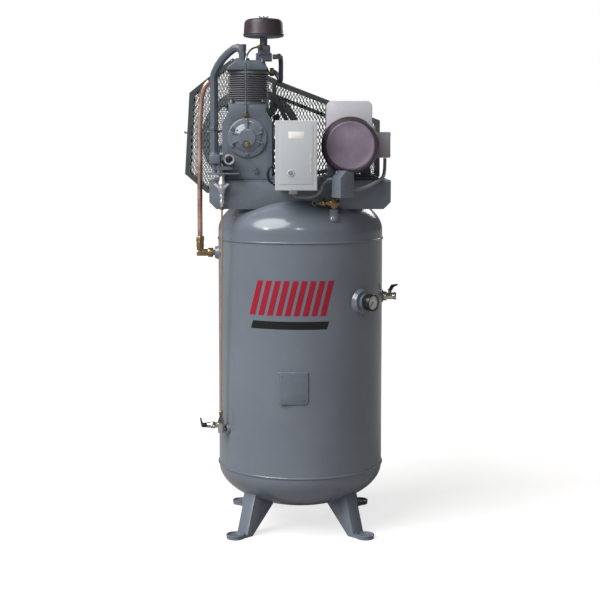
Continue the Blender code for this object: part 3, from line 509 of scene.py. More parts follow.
def turned(rings, at=(0, 0, 0), along=(0, 0, 1), steps=48, closed=True):
    """Drawn out of a circle ring by ring: rings are (radius, height) along the axis, from the foot up."""
    clear_selection()
    radius, height = rings[0]
    bpy.ops.mesh.primitive_circle_add(vertices=steps, radius=radius, location=(0, 0, 0))
    obj = bpy.context.object
    bpy.ops.object.mode_set(mode="EDIT")
    bpy.ops.mesh.select_all(action="SELECT")
    bpy.ops.transform.translate(value=(0, 0, height))
    for wide, high in rings[1:]:
        bpy.ops.mesh.extrude_edges_move(TRANSFORM_OT_translate={"value": (0, 0, high - height)})
        grow = wide / radius
        bpy.ops.transform.resize(value=(grow, grow, 1), center_override=(0, 0, high))
        radius, height = wide, high
    if closed:
        bpy.ops.mesh.edge_face_add()
        bpy.ops.mesh.select_all(action="DESELECT")
        first = rings[0][1]
        select(lambda v: v.index < steps and abs(v.co.z - first) < EPS, "verts")
        bpy.ops.mesh.select_mode(type="EDGE")
        bpy.ops.mesh.edge_face_add()
    outward()
    obj.rotation_euler = facing(along)
    obj.location = at
    return settle(obj)


def slab(low, high, round_by=0.001, steps=2):
    """A squared block between two corners with its edges broken."""
    clear_selection()
    low, high = Vector(low), Vector(high)
    bpy.ops.mesh.primitive_cube_add(size=1, location=(low + high) / 2)
    obj = bpy.context.object
    obj.scale = high - low
    settle(obj)
    if round_by:
        soften(obj, round_by, steps)
    return obj


def profile(corners, thick, at=(0, 0, 0), plane="XZ", round_by=0.0):
    """A flat plate with the given outline: its corners are set, filled and given a thickness."""
    clear_selection()
    bpy.ops.mesh.primitive_circle_add(vertices=len(corners), radius=1, fill_type="NGON")
    obj = bpy.context.object
    for vertex, (first, second) in zip(obj.data.vertices, corners):
        place = {"XZ": (first, 0, second), "XY": (first, second, 0), "YZ": (0, first, second)}[plane]
        vertex.co = place
    bpy.ops.object.mode_set(mode="EDIT")
    bpy.ops.mesh.select_all(action="SELECT")
    push = {"XZ": (0, thick, 0), "XY": (0, 0, thick), "YZ": (thick, 0, 0)}[plane]
    bpy.ops.mesh.extrude_region_move(TRANSFORM_OT_translate={"value": push})
    outward()
    obj.location = at
    settle(obj)
    if round_by:
        soften(obj, round_by)
    return obj


def rounded(box, radius, steps):
    """The corners of a rectangle (left, low, right, high) with each one rounded."""
    left, low, right, high = box
    middles = [(right - radius, high - radius, 0), (left + radius, high - radius, 90),
               (left + radius, low + radius, 180), (right - radius, low + radius, 270)]
    corners = []
    for x, z, start in middles:
        for index in range(steps + 1):
            turn = math.radians(start + 90 * index / steps)
            corners.append((x + radius * math.cos(turn), z + radius * math.sin(turn)))
    return corners


def pipe(points, radius, closed=False, steps=10, ends=True):
    """A round tube or rod along a smooth line through points."""
    clear_selection()
    bpy.ops.curve.primitive_bezier_curve_add()
    obj = bpy.context.object
    line = obj.data
    line.splines.clear()
    run = line.splines.new("BEZIER")
    run.bezier_points.add(len(points) - 1)
    for knot, place in zip(run.bezier_points, points):
        knot.co = place
        knot.handle_left_type = "AUTO"
        knot.handle_right_type = "AUTO"
    run.use_cyclic_u = closed
    line.bevel_depth = radius
    line.bevel_resolution = max(2, steps // 3)
    line.resolution_u = steps
    line.use_fill_caps = ends and not closed
    bpy.ops.object.convert(target="MESH")
    editing(bpy.context.object)
    outward()
    return bpy.context.object


def joined(pieces):
    """Several meshes as one."""
    only(pieces[0])
    for piece in pieces:
        piece.select_set(True)
    bpy.ops.object.join()
    return bpy.context.object


def copied(obj, move=(0, 0, 0)):
    """Another of the same with its own mesh, moved."""
    only(obj)
    bpy.ops.object.duplicate(linked=False)
    twin = bpy.context.object
    twin.matrix_world = Matrix.Translation(move) @ twin.matrix_world
    return settle(twin)


def cut_away(obj, cutter):
    """Takes the cutter's shape out of obj and throws the cutter away."""
    modify(obj, "BOOLEAN", object=cutter, operation="DIFFERENCE", solver="EXACT")
    bpy.data.objects.remove(cutter)
    return obj


def placed(obj, name, body, material, angle=35, from_axis=True, stands_for=()):
    """The last steps for every piece: its place, shading, finish, name, slot and body."""
    only(obj)
    if from_axis:
        obj.location = obj.location + AXIS
    settle(obj)
    bpy.ops.object.shade_smooth_by_angle(angle=math.radians(angle), keep_sharp_edges=False)
    obj.name = name
    obj.data.name = name
    obj.data.materials.clear()
    obj.data.materials.append(material)
    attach(obj, body)
    if stands_for:
        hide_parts(*stands_for)
    clear_selection()
    return obj


def dressed(name, body, material, width=0.001, angle=32, steps=2):
    """A CAD node's own shape, merged into one skin with its edges broken, in place of the node."""
    only(CAD[name])
    bpy.ops.object.duplicate(linked=False)
    obj = bpy.context.object
    obj.parent = None
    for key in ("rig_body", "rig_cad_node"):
        if key in obj:
            del obj[key]
    editing(obj)
    bpy.ops.mesh.customdata_custom_splitnormals_clear()
    bpy.ops.mesh.select_all(action="SELECT")
    bpy.ops.mesh.remove_doubles(threshold=EPS)
    bpy.ops.mesh.dissolve_limited(angle_limit=math.radians(0.6))
    bpy.ops.mesh.select_all(action="DESELECT")
    bpy.ops.object.mode_set(mode="OBJECT")
    if width:
        soften(obj, width, steps, angle)
    return placed(obj, name + "_finish", body, material, from_axis=False, stands_for=(name,))


def repaint(names, material):
    """Gives CAD nodes whose shape is right their finish."""
    for name in names:
        CAD[name].data.materials.clear()
        CAD[name].data.materials.append(material)


def screw_head(size, high, at, along, hexagon=True):
    """A hexagon or round head on its washer, standing on at and pointing along."""
    washer = turned([(size * 0.9, 0.0), (size * 0.95, high * 0.08), (size * 0.9, high * 0.22)],
                    steps=24)
    steps = 6 if hexagon else 24
    head = turned([(size * 0.74, high * 0.2), (size * 0.74, high * 0.86), (size * 0.62, high)], steps=steps)
    both = joined([washer, head])
    both.rotation_euler = facing(along)
    both.location = at
    return settle(both)


def screws(size, high, places, along, hexagon=True):
    """The same head at each place."""
    first = screw_head(size, high, (0, 0, 0), along, hexagon)
    rest = [copied(first, move=place) for place in places]
    bpy.data.objects.remove(first)
    return joined(rest)


def polar(angle, radius, height):
    """A place at an angle round the receiver, 0 to the right, 90 to the back."""
    turn = math.radians(angle)
    return Vector((math.cos(turn) * radius, math.sin(turn) * radius, height))


# ---------------------------------------------------------------- receiver, marking and legs

def head_rings(rim, top):
    """Rings of a 2:1 dished head from its seam to the crown."""
    depth = abs(top - rim)
    side = 1 if top > rim else -1
    seam = rim - side * 0.030 if side > 0 else rim + 0.005
    rings = [(TANK_RADIUS, seam), (TANK_RADIUS, rim)]
    steps = 26
    for index in range(1, steps):
        turn = math.radians(90 * index / steps)
        rings.append((TANK_RADIUS * math.cos(turn), rim + side * depth * math.sin(turn)))
    rings.append((0.004, top))
    return rings


def coupling(angle, height, radius, reach, ring=0.0):
    """A pipe coupling welded into the shell, its fillet of weld at the foot, bored at the mouth."""
    start = TANK_RADIUS - 0.02
    foot = TANK_RADIUS + 0.001
    mouth = reach - start
    rings = [(radius * 0.9, 0.0), (radius + 0.006, 0.012), (radius + 0.005, foot - start - 0.001),
             (radius + 0.001, foot - start + 0.004 + ring), (radius, mouth - 0.0015),
             (radius - 0.0015, mouth), (radius * 0.62, mouth), (radius * 0.60, mouth - 0.006)]
    return turned(rings, at=polar(angle, start, height), along=polar(angle, 1, 0), steps=48)


def weld_bead(height):
    """A girth weld: a low bead round the receiver whose ripples stand a few millimetres apart."""
    clear_selection()
    bpy.ops.mesh.primitive_torus_add(
        major_radius=TANK_RADIUS, minor_radius=BEAD_RADIUS, major_segments=720, minor_segments=8,
        location=(0, 0, height))
    bead = bpy.context.object
    editing(bead, "VERT")
    select(lambda v: round(math.degrees(math.atan2(v.co.y, v.co.x)) * 2) % 3 == 0, "verts")
    bpy.ops.transform.resize(value=(BEAD_RIPPLE, BEAD_RIPPLE, 1), center_override=(0, 0, height))
    bpy.ops.object.mode_set(mode="OBJECT")
    return settle(bead)


def make_receiver():
    steps = sizes().tank_sides
    enamel = machinery_enamel()
    top = turned(head_rings(1.105, 1.2575), steps=steps)
    boss = turned([(0.022, 1.150), (0.021, 1.166), (0.0165, 1.172), (0.016, 1.1905), (0.0145, 1.192)],
                  at=(0.118, -0.250, 0), steps=40)
    placed(joined([top, boss]), "receiver_top_head", "frame", enamel,
           stands_for=("tank_top_head",))
    bottom = turned(list(reversed(head_rings(0.230, 0.0775))), steps=steps)
    placed(bottom, "receiver_bottom_head", "frame", enamel, stands_for=("tank_bottom_head",))
    body = turned([(TANK_RADIUS, z) for z in (LOWER_SEAM, 0.5, 0.8, UPPER_SEAM)],
                  steps=steps)
    fittings = [coupling(180, 1.019, 0.0225, 0.3183), coupling(-44, 0.859, 0.044, 0.320),
                coupling(0, 0.856, 0.021, 0.310), coupling(210, 0.385, 0.017, 0.315)]
    placed(joined([body] + fittings), "receiver_shell", "frame", enamel,
           stands_for=("tank_shell",))
    beads = joined([weld_bead(UPPER_SEAM), weld_bead(LOWER_SEAM)])
    placed(beads, "receiver_welds", "frame", enamel, angle=60)


def wrapped(flat, lift):
    """Lays a flat sheet, drawn facing the front, onto the shell, lift above it."""
    shell = bpy.data.objects["receiver_shell"]
    flat.location = flat.location + AXIS
    settle(flat)
    modify(flat, "SHRINKWRAP", target=shell, wrap_method="PROJECT", use_project_x=False,
           use_project_y=True, use_positive_direction=True, use_negative_direction=True, offset=lift)
    return flat


def sheet_bar(left, right, low, high, slant, cuts=10):
    """A flat slanted bar in front of the shell, cut fine enough to bend round it."""
    clear_selection()
    bpy.ops.mesh.primitive_grid_add(x_subdivisions=cuts, y_subdivisions=2, size=1)
    bar = bpy.context.object
    bar.scale = (right - left, high - low, 1)
    bar.rotation_euler = (math.radians(90), 0, 0)
    bar.location = ((left + right) / 2, -0.36, (low + high) / 2)
    settle(bar)
    editing(bar, "VERT")
    select(lambda v: v.co.z > (low + high) / 2 + EPS, "verts")
    bpy.ops.transform.translate(value=(slant / 2, 0, 0))
    bpy.ops.mesh.select_all(action="DESELECT")
    select(lambda v: v.co.z < (low + high) / 2 - EPS, "verts")
    bpy.ops.transform.translate(value=(-slant / 2, 0, 0))
    bpy.ops.object.mode_set(mode="OBJECT")
    return bar


def make_marking():
    count = sizes().bar_count
    left, right, low, high = -0.166, 0.116, 0.818, 0.942
    pitch = (right - left) / count
    bars = []
    for place in range(count):
        start = left + pitch * place
        bars.append(sheet_bar(start, start + pitch * 0.66, low, high, 0.030, 4))
    film = wrapped(joined(bars), 0.0005)
    placed(film, "slanted_bars", "frame", red_film(), from_axis=False)
    bands = [sheet_bar(-0.172, 0.098, 0.770, 0.798, 0.008, 16)]
    placed(wrapped(joined(bands), 0.0005), "lower_band", "frame", black_film(), from_axis=False)


def make_data_plate():
    """A formed bracket welded to the shell and the blank plate riveted to it."""
    corners = [(-0.080, 0.620), (-0.080, 0.512), (-0.070, 0.502), (0.018, 0.502),
               (0.028, 0.512), (0.028, 0.620)]
    bracket = profile(corners, 0.0100, at=(0, -0.3090, 0))
    soften(bracket, 0.003, 3)
    placed(bracket, "data_plate_bracket", "frame", machinery_enamel())
    inner = [(-0.072, 0.612), (-0.072, 0.516), (-0.066, 0.510), (0.014, 0.510),
             (0.020, 0.516), (0.020, 0.612)]
    plate = profile(inner, 0.0010, at=(0, -0.3098, 0), round_by=0.0004)
    rivets = [turned([(0.0026, 0.0), (0.0024, 0.0009), (0.0012, 0.0014)], at=(x, -0.3098, z),
                     along=(0, -1, 0), steps=16)
              for x in (-0.066, 0.014) for z in (0.606, 0.522)]
    placed(joined([plate] + rivets), "data_plate", "frame", folded_enamel())


def make_legs():
    enamel = machinery_enamel()
    for side in ("front_left", "front_right", "back_left", "back_right"):
        dressed("leg_" + side, "frame", enamel, 0.0016)
    collars = []
    for angle in (45, 135, 225, 315):
        ring = turned([(0.0330, 0.0098), (0.0335, 0.0145), (0.0320, 0.0160), (0.0290, 0.0160),
                       (0.0270, 0.0104)], at=polar(angle, 0.332, 0), steps=48)
        collars.append(ring)
    placed(joined(collars), "leg_collars", "frame", enamel, angle=50)


# ---------------------------------------------------------------- deck and belt guard

GUARD_OUTLINE = [(-0.446, 1.307), (-0.427, 1.619), (-0.261, 1.751), (-0.080, 1.663), (0.138, 1.579),
                 (0.307, 1.513), (0.307, 1.300), (0.250, 1.233), (-0.3615, 1.233)]
GUARD_FRONT, GUARD_BACK = 0.2050, 0.3100
GUARD_EDGE, GUARD_STEEL, MESH_DEPTH = 0.016, 0.0016, 0.0014
# The guard outline's corner that points inwards, where no cut is made.
INWARD_CORNER = 3
CRANK = (-0.189, 1.444)
MOTOR = (0.176, 1.4165)


def make_deck():
    sheet = folded_enamel()
    dressed("deck_plate", "frame", sheet, 0.0012)
    dressed("deck_front_skirt", "frame", sheet, 0.0012)
    dressed("deck_rear_skirt", "frame", sheet, 0.0012)
    corners = [(x, y, 1.3068) for x in (-0.285, -0.093) for y in (-0.145, 0.115)]
    foot = screws(0.0100, 0.0090, corners, (0, 0, 1))
    placed(foot, "pump_foot_bolts", "frame", zinc_plate())
    corners = [(x, y, 1.3050) for x in (0.086, 0.266) for y in (-0.140, 0.060)]
    motor = screws(0.0080, 0.0075, corners, (0, 0, 1))
    placed(motor, "motor_foot_bolts", "frame", zinc_plate())
    front = screws(0.0080, 0.0060, [(x, -0.2045, 1.2740) for x in (-0.070, 0.042)], (0, -1, 0))
    placed(front, "box_arm_screws", "frame", zinc_plate())


def inset_outline(corners, by):
    """The outline drawn in by a margin: each side moved inwards and met with its neighbours."""
    moved = []
    count = len(corners)
    for at in range(count):
        before, here = Vector(corners[at - 1]), Vector(corners[at])
        after = Vector(corners[(at + 1) % count])
        into, out = (here - before).normalized(), (after - here).normalized()
        first, second = Vector((into.y, -into.x)) * by, Vector((out.y, -out.x)) * by
        share = (first + second) / (1 + first.normalized().dot(second.normalized()))
        moved.append(tuple(here + share))
    return moved


def border(outer, width, y, thick):
    """A flat border that follows the outline: filled, inset by width, and its middle taken out."""
    plate = profile(outer, thick, at=(0, y, 0))
    inner = profile(inset_outline(outer, width), thick * 4, at=(0, y - thick * 1.5, 0))
    return cut_away(plate, inner)


def mesh_sheet(y, across, along, strand, depth):
    """Expanded metal: one zigzag strand, copied with its mirror image across the panel."""
    left, right, low, high = -0.450, 0.312, 1.228, 1.756
    clear_selection()
    bpy.ops.mesh.primitive_plane_add(size=1)
    line = bpy.context.object
    line.scale = (strand, depth, 1)
    line.location = (0, 0, low)
    settle(line)
    bpy.ops.object.mode_set(mode="EDIT")
    bpy.ops.mesh.select_all(action="SELECT")
    swing = across / 2 - strand * 0.5
    for index in range(int((high - low) / (along / 2)) + 1):
        sideways = swing if index % 2 == 0 else -swing
        bpy.ops.mesh.extrude_region_move(TRANSFORM_OT_translate={"value": (sideways, 0, along / 2)})
    outward()
    only(line)
    bpy.ops.object.duplicate(linked=False)
    twin = bpy.context.object
    twin.scale = (-1, 1, 1)
    twin.location = (across, 0, 0)
    settle(twin)
    pair = joined([line, twin])
    editing(pair)
    bpy.ops.mesh.select_all(action="SELECT")
    bpy.ops.mesh.normals_make_consistent(inside=False)
    bpy.ops.object.mode_set(mode="OBJECT")
    pair.location = (left, y, 0)
    settle(pair)
    modify(pair, "ARRAY", count=int((right - left) / across) + 1, use_relative_offset=False,
           use_constant_offset=True, constant_offset_displace=(across, 0, 0))
    return pair


def trim(panel, outline):
    """Cuts the panel off along each outward side of the outline."""
    editing(panel)
    hull = [corner for corner in outline if corner != outline[INWARD_CORNER]]
    middle_place = Vector((-0.07, 0, 1.45))
    for here, after in zip(hull, hull[1:] + hull[:1]):
        start, end = Vector((here[0], 0, here[1])), Vector((after[0], 0, after[1]))
        side = (end - start).cross(Vector((0, 1, 0))).normalized()
        if side.dot(middle_place - start) > 0:
            side = -side
        bpy.ops.mesh.select_all(action="SELECT")
        bpy.ops.mesh.bisect(plane_co=start, plane_no=side, clear_outer=True, use_fill=False)
    bpy.ops.object.mode_set(mode="OBJECT")
    return panel


def clear_hole(panel, centre, radius):
    """Takes out the strands inside a round hole."""
    editing(panel)
    select(lambda f: (f.calc_center_median().xz - Vector(centre)).length < radius)
    bpy.ops.mesh.delete(type="FACE")
    bpy.ops.object.mode_set(mode="OBJECT")


def hole_ring(centre, radius, y):
    """The flat collar round a hole in the mesh."""
    x, z = centre
    return turned([(radius, 0.0), (radius + 0.010, 0.0), (radius + 0.0105, 0.0008), (radius + 0.010, 0.0016),
                   (radius, 0.0016), (radius - 0.0004, 0.0008), (radius, 0.0)],
                  at=(x, y, z), along=(0, -1, 0), steps=40, closed=False)


def make_guard():
    coat = guard_coat()
    chosen = sizes()
    sheet = (chosen.mesh_across, chosen.mesh_along, chosen.strand, MESH_DEPTH)
    trimmed = inset_outline(GUARD_OUTLINE, 0.008)
    front = trim(mesh_sheet(GUARD_FRONT + 0.0010, *sheet), trimmed)
    clear_hole(front, CRANK, 0.030)
    clear_hole(front, MOTOR, 0.028)
    edge = border(GUARD_OUTLINE, GUARD_EDGE, GUARD_FRONT, GUARD_STEEL)
    rings = [hole_ring(CRANK, 0.028, GUARD_FRONT + 0.0012), hole_ring(MOTOR, 0.026, GUARD_FRONT + 0.0012)]
    arms = [profile([(-0.112, 1.606), (-0.098, 1.606), (-0.118, 1.500), (-0.132, 1.478)], 0.003,
                    at=(0, 0.2022, 0)),
            profile([(-0.108, 1.600), (-0.092, 1.606), (-0.020, 1.470), (-0.038, 1.470)], 0.003,
                    at=(0, 0.2020, 0)),
            profile([(-0.108, 1.678), (-0.092, 1.670), (-0.092, 1.596), (-0.108, 1.596)], 0.003,
                    at=(0, 0.2024, 0))]
    # The mesh's paler paint is a painted highlight on the guard's own coat.
    placed(front, "guard_front_mesh", "frame", mesh_coat())
    placed(joined([edge] + rings + arms), "guard_front_frame", "frame", coat,
           stands_for=("guard_front_panel",))
    rear = trim(mesh_sheet(GUARD_BACK - 0.0010, *sheet), trimmed)
    back_edge = border(GUARD_OUTLINE, GUARD_EDGE, GUARD_BACK - 0.0018, GUARD_STEEL)
    placed(rear, "guard_rear_mesh", "frame", mesh_coat())
    placed(back_edge, "guard_rear_frame", "frame", coat, stands_for=("guard_rear_panel",))
    outer = profile(GUARD_OUTLINE, GUARD_BACK - GUARD_FRONT - 0.0024, at=(0, GUARD_FRONT + 0.0012, 0))
    inner = profile(inset_outline(GUARD_OUTLINE, 0.0018), 0.2, at=(0, GUARD_FRONT - 0.04, 0))
    placed(cut_away(outer, inner), "guard_band", "frame", coat, stands_for=("guard_rim",))
    clip = pipe([(-0.434, 0.2575, 1.466), (-0.446, 0.2575, 1.466), (-0.4515, 0.2575, 1.470)], 0.0035, steps=6)
    placed(clip, "guard_clip", "frame", zinc_plate(), angle=50)


# ---------------------------------------------------------------- pump, pipes and drive

def make_crankcase():
    iron = cast_iron_paint()
    dressed("crankcase", "frame", iron, 0.0022)
    x, z = CRANK
    cover = turned([(0.070, 0.0), (0.070, 0.0055), (0.0680, 0.0070), (0.052, 0.0078), (0.046, 0.0130),
                    (0.034, 0.0160), (0.030, 0.0200), (0.030, 0.0218), (0.027, 0.0224), (0.010, 0.0224)],
                   at=(x, -0.1900, z), along=(0, -1, 0), steps=64)
    bolts = []
    for index in range(6):
        turn = math.radians(30 + 60 * index)
        bolts.append((x + 0.060 * math.cos(turn), -0.1969, z + 0.060 * math.sin(turn)))
    placed(cover, "bearing_cover", "frame", machinery_enamel(), stands_for=("front_bearing_cover",))
    ribs = []
    for turn in (20, 90, 160, 200, 340):
        rib = slab((0.026, -0.0030, 0.0), (0.058, 0.0030, 0.0135), 0.0014)
        rib.data.transform(Matrix.Rotation(math.radians(turn), 4, "Z"))
        rib.rotation_euler = facing((0, -1, 0))
        rib.location = (x, -0.1950, z)
        ribs.append(settle(rib))
    placed(joined(ribs), "bearing_cover_ribs", "frame", machinery_enamel())
    placed(screws(0.0080, 0.0060, bolts, (0, -1, 0)), "bearing_cover_bolts", "frame", zinc_plate())
    bezel = turned([(0.0125, 0.0), (0.0125, 0.0050), (0.0115, 0.0065), (0.0088, 0.0065), (0.0080, 0.0045)],
                   at=(x - 0.004, -0.2118, z - 0.022), along=(0, -1, 0), steps=40)
    placed(bezel, "sight_glass_bezel", "frame", forged_brass())
    glass = turned([(0.0082, 0.0), (0.0082, 0.0010), (0.0050, 0.0020), (0.0010, 0.0024)],
                   at=(x - 0.004, -0.2160, z - 0.022), along=(0, -1, 0), steps=32)
    placed(glass, "sight_glass", "frame", lens_glass())
    spot = turned([(0.0034, 0.0), (0.0034, 0.0004), (0.0020, 0.0006)],
                  at=(x - 0.004, -0.2156, z - 0.022), along=(0, -1, 0), steps=24)
    placed(spot, "sight_glass_mark", "frame", red_plastic())
    plug = screw_head(0.0125, 0.0100, (x + 0.030, -0.1893, 1.327), (0, -1, 0))
    placed(plug, "oil_drain_plug", "frame", zinc_plate())
    filler = turned([(0.0130, 0.0), (0.0130, 0.010), (0.0180, 0.0105), (0.0185, 0.0200), (0.0160, 0.0235),
                     (0.0040, 0.0245)], at=(x + 0.0885, -0.020, 1.515), along=(1, 0, 0), steps=36)
    placed(filler, "oil_filler_cap", "frame", black_plastic())


def finned_barrel(x, y, radius, bore_wall, bore):
    """A bored cast cylinder: a plain foot and neck, and thin rounded fins as the foundry leaves them."""
    low, high = 1.5628, 1.6830
    gap = sizes().fin_gap
    rings = [(radius * 0.86, low), (radius * 0.98, low + 0.0008), (radius * 0.98, low + 0.0095),
             (radius * 0.95, low + 0.0105), (bore_wall, low + 0.0125)]
    at = low + 0.0125 + gap * 0.45
    while at < high - 0.0150:
        rings += [(bore_wall, at - 0.0026), (radius - 0.0010, at - 0.0018), (radius, at - 0.0008),
                  (radius, at + 0.0008), (radius - 0.0010, at + 0.0018), (bore_wall, at + 0.0026)]
        at += gap
    rings += [(bore_wall, high - 0.0125), (radius * 0.95, high - 0.0105), (radius * 0.98, high - 0.0095),
              (radius * 0.98, high - 0.0006), (radius * 0.86, high), (bore, high), (bore, low),
              (radius * 0.86, low)]
    return turned(rings, at=(x, y, 0), steps=72, closed=False)


def make_cylinders():
    iron = barrel_paint()
    for name, cad, measures in (
            ("low_pressure_barrel", "first_stage_cylinder", (-0.100, 0.0750, 0.0640, 0.0512)),
            ("high_pressure_barrel", "second_stage_cylinder", (0.060, 0.0698, 0.0580, 0.0292))):
        placed(finned_barrel(CRANK[0], *measures), name, "frame", iron, angle=40,
               stands_for=(cad,))
    studs = []
    for y, reach in ((-0.100, 0.066), (0.060, 0.062)):
        for side in (-1, 1):
            for end in (-1, 1):
                studs.append((CRANK[0] + side * reach * 0.86, y + end * reach * 0.86, 1.5735))
    placed(screws(0.0085, 0.0075, studs, (0, 0, 1)), "barrel_foot_nuts", "frame", zinc_plate())


def make_head():
    iron = cast_iron_paint()
    dressed("cylinder_head", "frame", iron, 0.0045, steps=3)
    x = CRANK[0]
    places = [(x + side * 0.054, y, 1.7165) for side in (-1, 1) for y in (-0.155, -0.045, 0.005, 0.110)]
    bolts = screws(0.0085, 0.0085, places, (0, 0, 1))
    placed(bolts, "head_bolts", "frame", zinc_plate())
    ribs = [slab((x - 0.050, y - 0.0022, 1.7150), (x - 0.020, y + 0.0022, 1.7262), 0.0012)
            for y in (-0.020, 0.020, 0.035, 0.050, 0.065, 0.080, 0.095)]
    gasket = slab((x - 0.0745, -0.1745, 1.6829), (x + 0.0745, 0.1325, 1.6842), 0.0003, 1)
    placed(joined(ribs), "head_ribs", "frame", iron)
    placed(gasket, "head_gasket", "frame", black_plastic())


def make_intake():
    iron = cast_iron_paint()
    dressed("intake_unloader", "frame", iron, 0.0010, angle=40)
    x, y = -0.133, -0.080
    low = 1.8123
    rings = [(0.0725, low), (0.0740, low + 0.0012), (0.0740, low + 0.0050), (0.0725, low + 0.0068),
             (0.0720, low + 0.0085), (0.0700, low + 0.0440), (0.0660, low + 0.0535), (0.0560, low + 0.0588),
             (0.0300, low + 0.0600), (0.0270, low + 0.0578), (0.0080, low + 0.0572)]
    shell = turned(rings, at=(x, y, 0), steps=80)
    placed(shell, "intake_filter_cover", "frame", plum_plastic(),
           stands_for=("filter_cover",))
    stud = turned([(0.0105, 1.8680), (0.0105, 1.8702), (0.0042, 1.8710), (0.0042, 1.8745), (0.0060, 1.8750),
                   (0.0052, 1.8790), (0.0030, 1.8795), (0.0030, 1.8824), (0.0015, 1.8830)],
                  at=(x, y, 0), steps=24)
    wings = [profile([(side * 0.003, 1.8748), (side * 0.015, 1.8765), (side * 0.019, 1.8812),
                      (side * 0.015, 1.8828), (side * 0.004, 1.8785)], 0.0022, at=(x, y - 0.0011, 0),
                     round_by=0.0007) for side in (-1, 1)]
    placed(joined([stud] + wings), "intake_wing_nut", "frame", zinc_plate())


UNLOADER_RUN = [(-0.145, -0.107, 1.770), (-0.157, -0.130, 1.768), (-0.180, -0.170, 1.752),
                (-0.1925, -0.1915, 1.722), (-0.1935, -0.1945, 1.690), (-0.1935, -0.1945, 1.600),
                (-0.1935, -0.1945, 1.520)]
INTERCOOLER_RUN = [(-0.114, 0.060, 1.690), (-0.099, 0.060, 1.690), (-0.083, 0.055, 1.674),
                   (-0.075, 0.035, 1.655),
                   (-0.072, 0.010, 1.690), (-0.072, -0.020, 1.728), (-0.076, -0.060, 1.741),
                   (-0.088, -0.080, 1.737), (-0.1005, -0.080, 1.737)]
DISCHARGE_RUN = [(-0.335, -0.026, 1.652), (-0.352, -0.022, 1.630), (-0.368, -0.010, 1.540),
                 (-0.3725, -0.003, 1.350), (-0.3735, 0.0, 1.200), (-0.3735, 0.0, 1.0615)]
DRAIN_RUN = [(-0.279, -0.215, 1.1985), (-0.280, -0.210, 1.100), (-0.282, -0.200, 1.000),
             (-0.286, -0.185, 0.800),
             (-0.288, -0.172, 0.600), (-0.2893, -0.167, 0.4403)]


def make_pipes():
    iron = cast_iron_paint()
    zinc = zinc_plate()
    copper = drawn_copper()
    dressed("aftercooler_pipe", "frame", iron, 0.0, angle=50)
    placed(pipe(UNLOADER_RUN, 0.0032, steps=10), "unloader_line", "frame", zinc, angle=60,
           stands_for=("unloader_tube",))
    placed(pipe(INTERCOOLER_RUN, 0.0090, steps=12), "intercooler_line", "frame", iron,
           angle=60, stands_for=("intercooler_pipe",))
    placed(pipe(DISCHARGE_RUN, 0.0095, steps=14), "discharge_line", "frame", copper, angle=60,
           stands_for=("discharge_tube",))
    placed(pipe(DRAIN_RUN, 0.0035, steps=12), "drain_line", "frame", copper, angle=60,
           stands_for=("drain_tube",))
    nuts = [turned([(0.0075, 0.0), (0.0085, 0.0012), (0.0085, 0.0110), (0.0072, 0.0125)], steps=6,
                   at=UNLOADER_RUN[0], along=(-0.4, -0.9, -0.05)),
            turned([(0.0075, 0.0), (0.0085, 0.0012), (0.0085, 0.0110), (0.0072, 0.0125)], steps=6,
                   at=(-0.1935, -0.1945, 1.520)),
            turned([(0.0150, 0.0), (0.0165, 0.0015), (0.0165, 0.0160), (0.0150, 0.0180)], steps=6,
                   at=(-0.3735, 0.0, 1.0615)),
            turned([(0.0140, 0.0), (0.0155, 0.0015), (0.0155, 0.0140), (0.0140, 0.0155)], steps=6,
                   at=INTERCOOLER_RUN[0], along=(1, 0, 0)),
            turned([(0.0075, 0.0), (0.0085, 0.0012), (0.0085, 0.0110), (0.0072, 0.0125)], steps=6,
                   at=(-0.2893, -0.167, 0.4403)),
            turned([(0.0075, 0.0), (0.0085, 0.0012), (0.0085, 0.0100), (0.0072, 0.0115)], steps=6,
                   at=(-0.279, -0.215, 1.1880))]
    placed(joined(nuts), "pipe_nuts", "frame", forged_brass())
    sleeve = turned([(0.0158, 0.0), (0.0178, 0.0015), (0.0178, 0.0150), (0.0158, 0.0165)], steps=6,
                    at=(-0.3175, -0.026, 1.470))
    clamp = slab((-0.3450, -0.0300, 1.4620), (-0.2960, -0.0220, 1.4700), 0.0012)
    placed(joined([sleeve, clamp]), "aftercooler_clamp", "frame", zinc)
    line = pipe([(-0.300, -0.030, 1.4690), (-0.240, -0.1900, 1.4700), (-0.222, -0.2050, 1.4700)],
                0.0030, steps=8)
    placed(line, "breather_line", "frame", zinc, angle=60)


def make_drive():
    iron = cast_iron_paint()
    dressed("flywheel", "crank", iron, 0.0010, angle=40)
    dressed("motor_pulley", "rotor", iron, 0.0008, angle=40)
    repaint(("crankshaft", "rear_main_bearing", "motor_rotor", "motor_stator", "first_stage_rod",
             "second_stage_rod"), turned_steel())
    repaint(("first_stage_piston", "second_stage_piston"), machined_aluminium())
    repaint(("filter_element",), pleated_felt())
    dressed("drive_belt", "frame", belt_rubber(), 0.0, angle=20)
    nut = screw_head(0.0160, 0.0100, (CRANK[0], 0.2925, CRANK[1]), (0, 1, 0))
    placed(nut, "flywheel_nut", "crank", zinc_plate())


# ---------------------------------------------------------------- motor

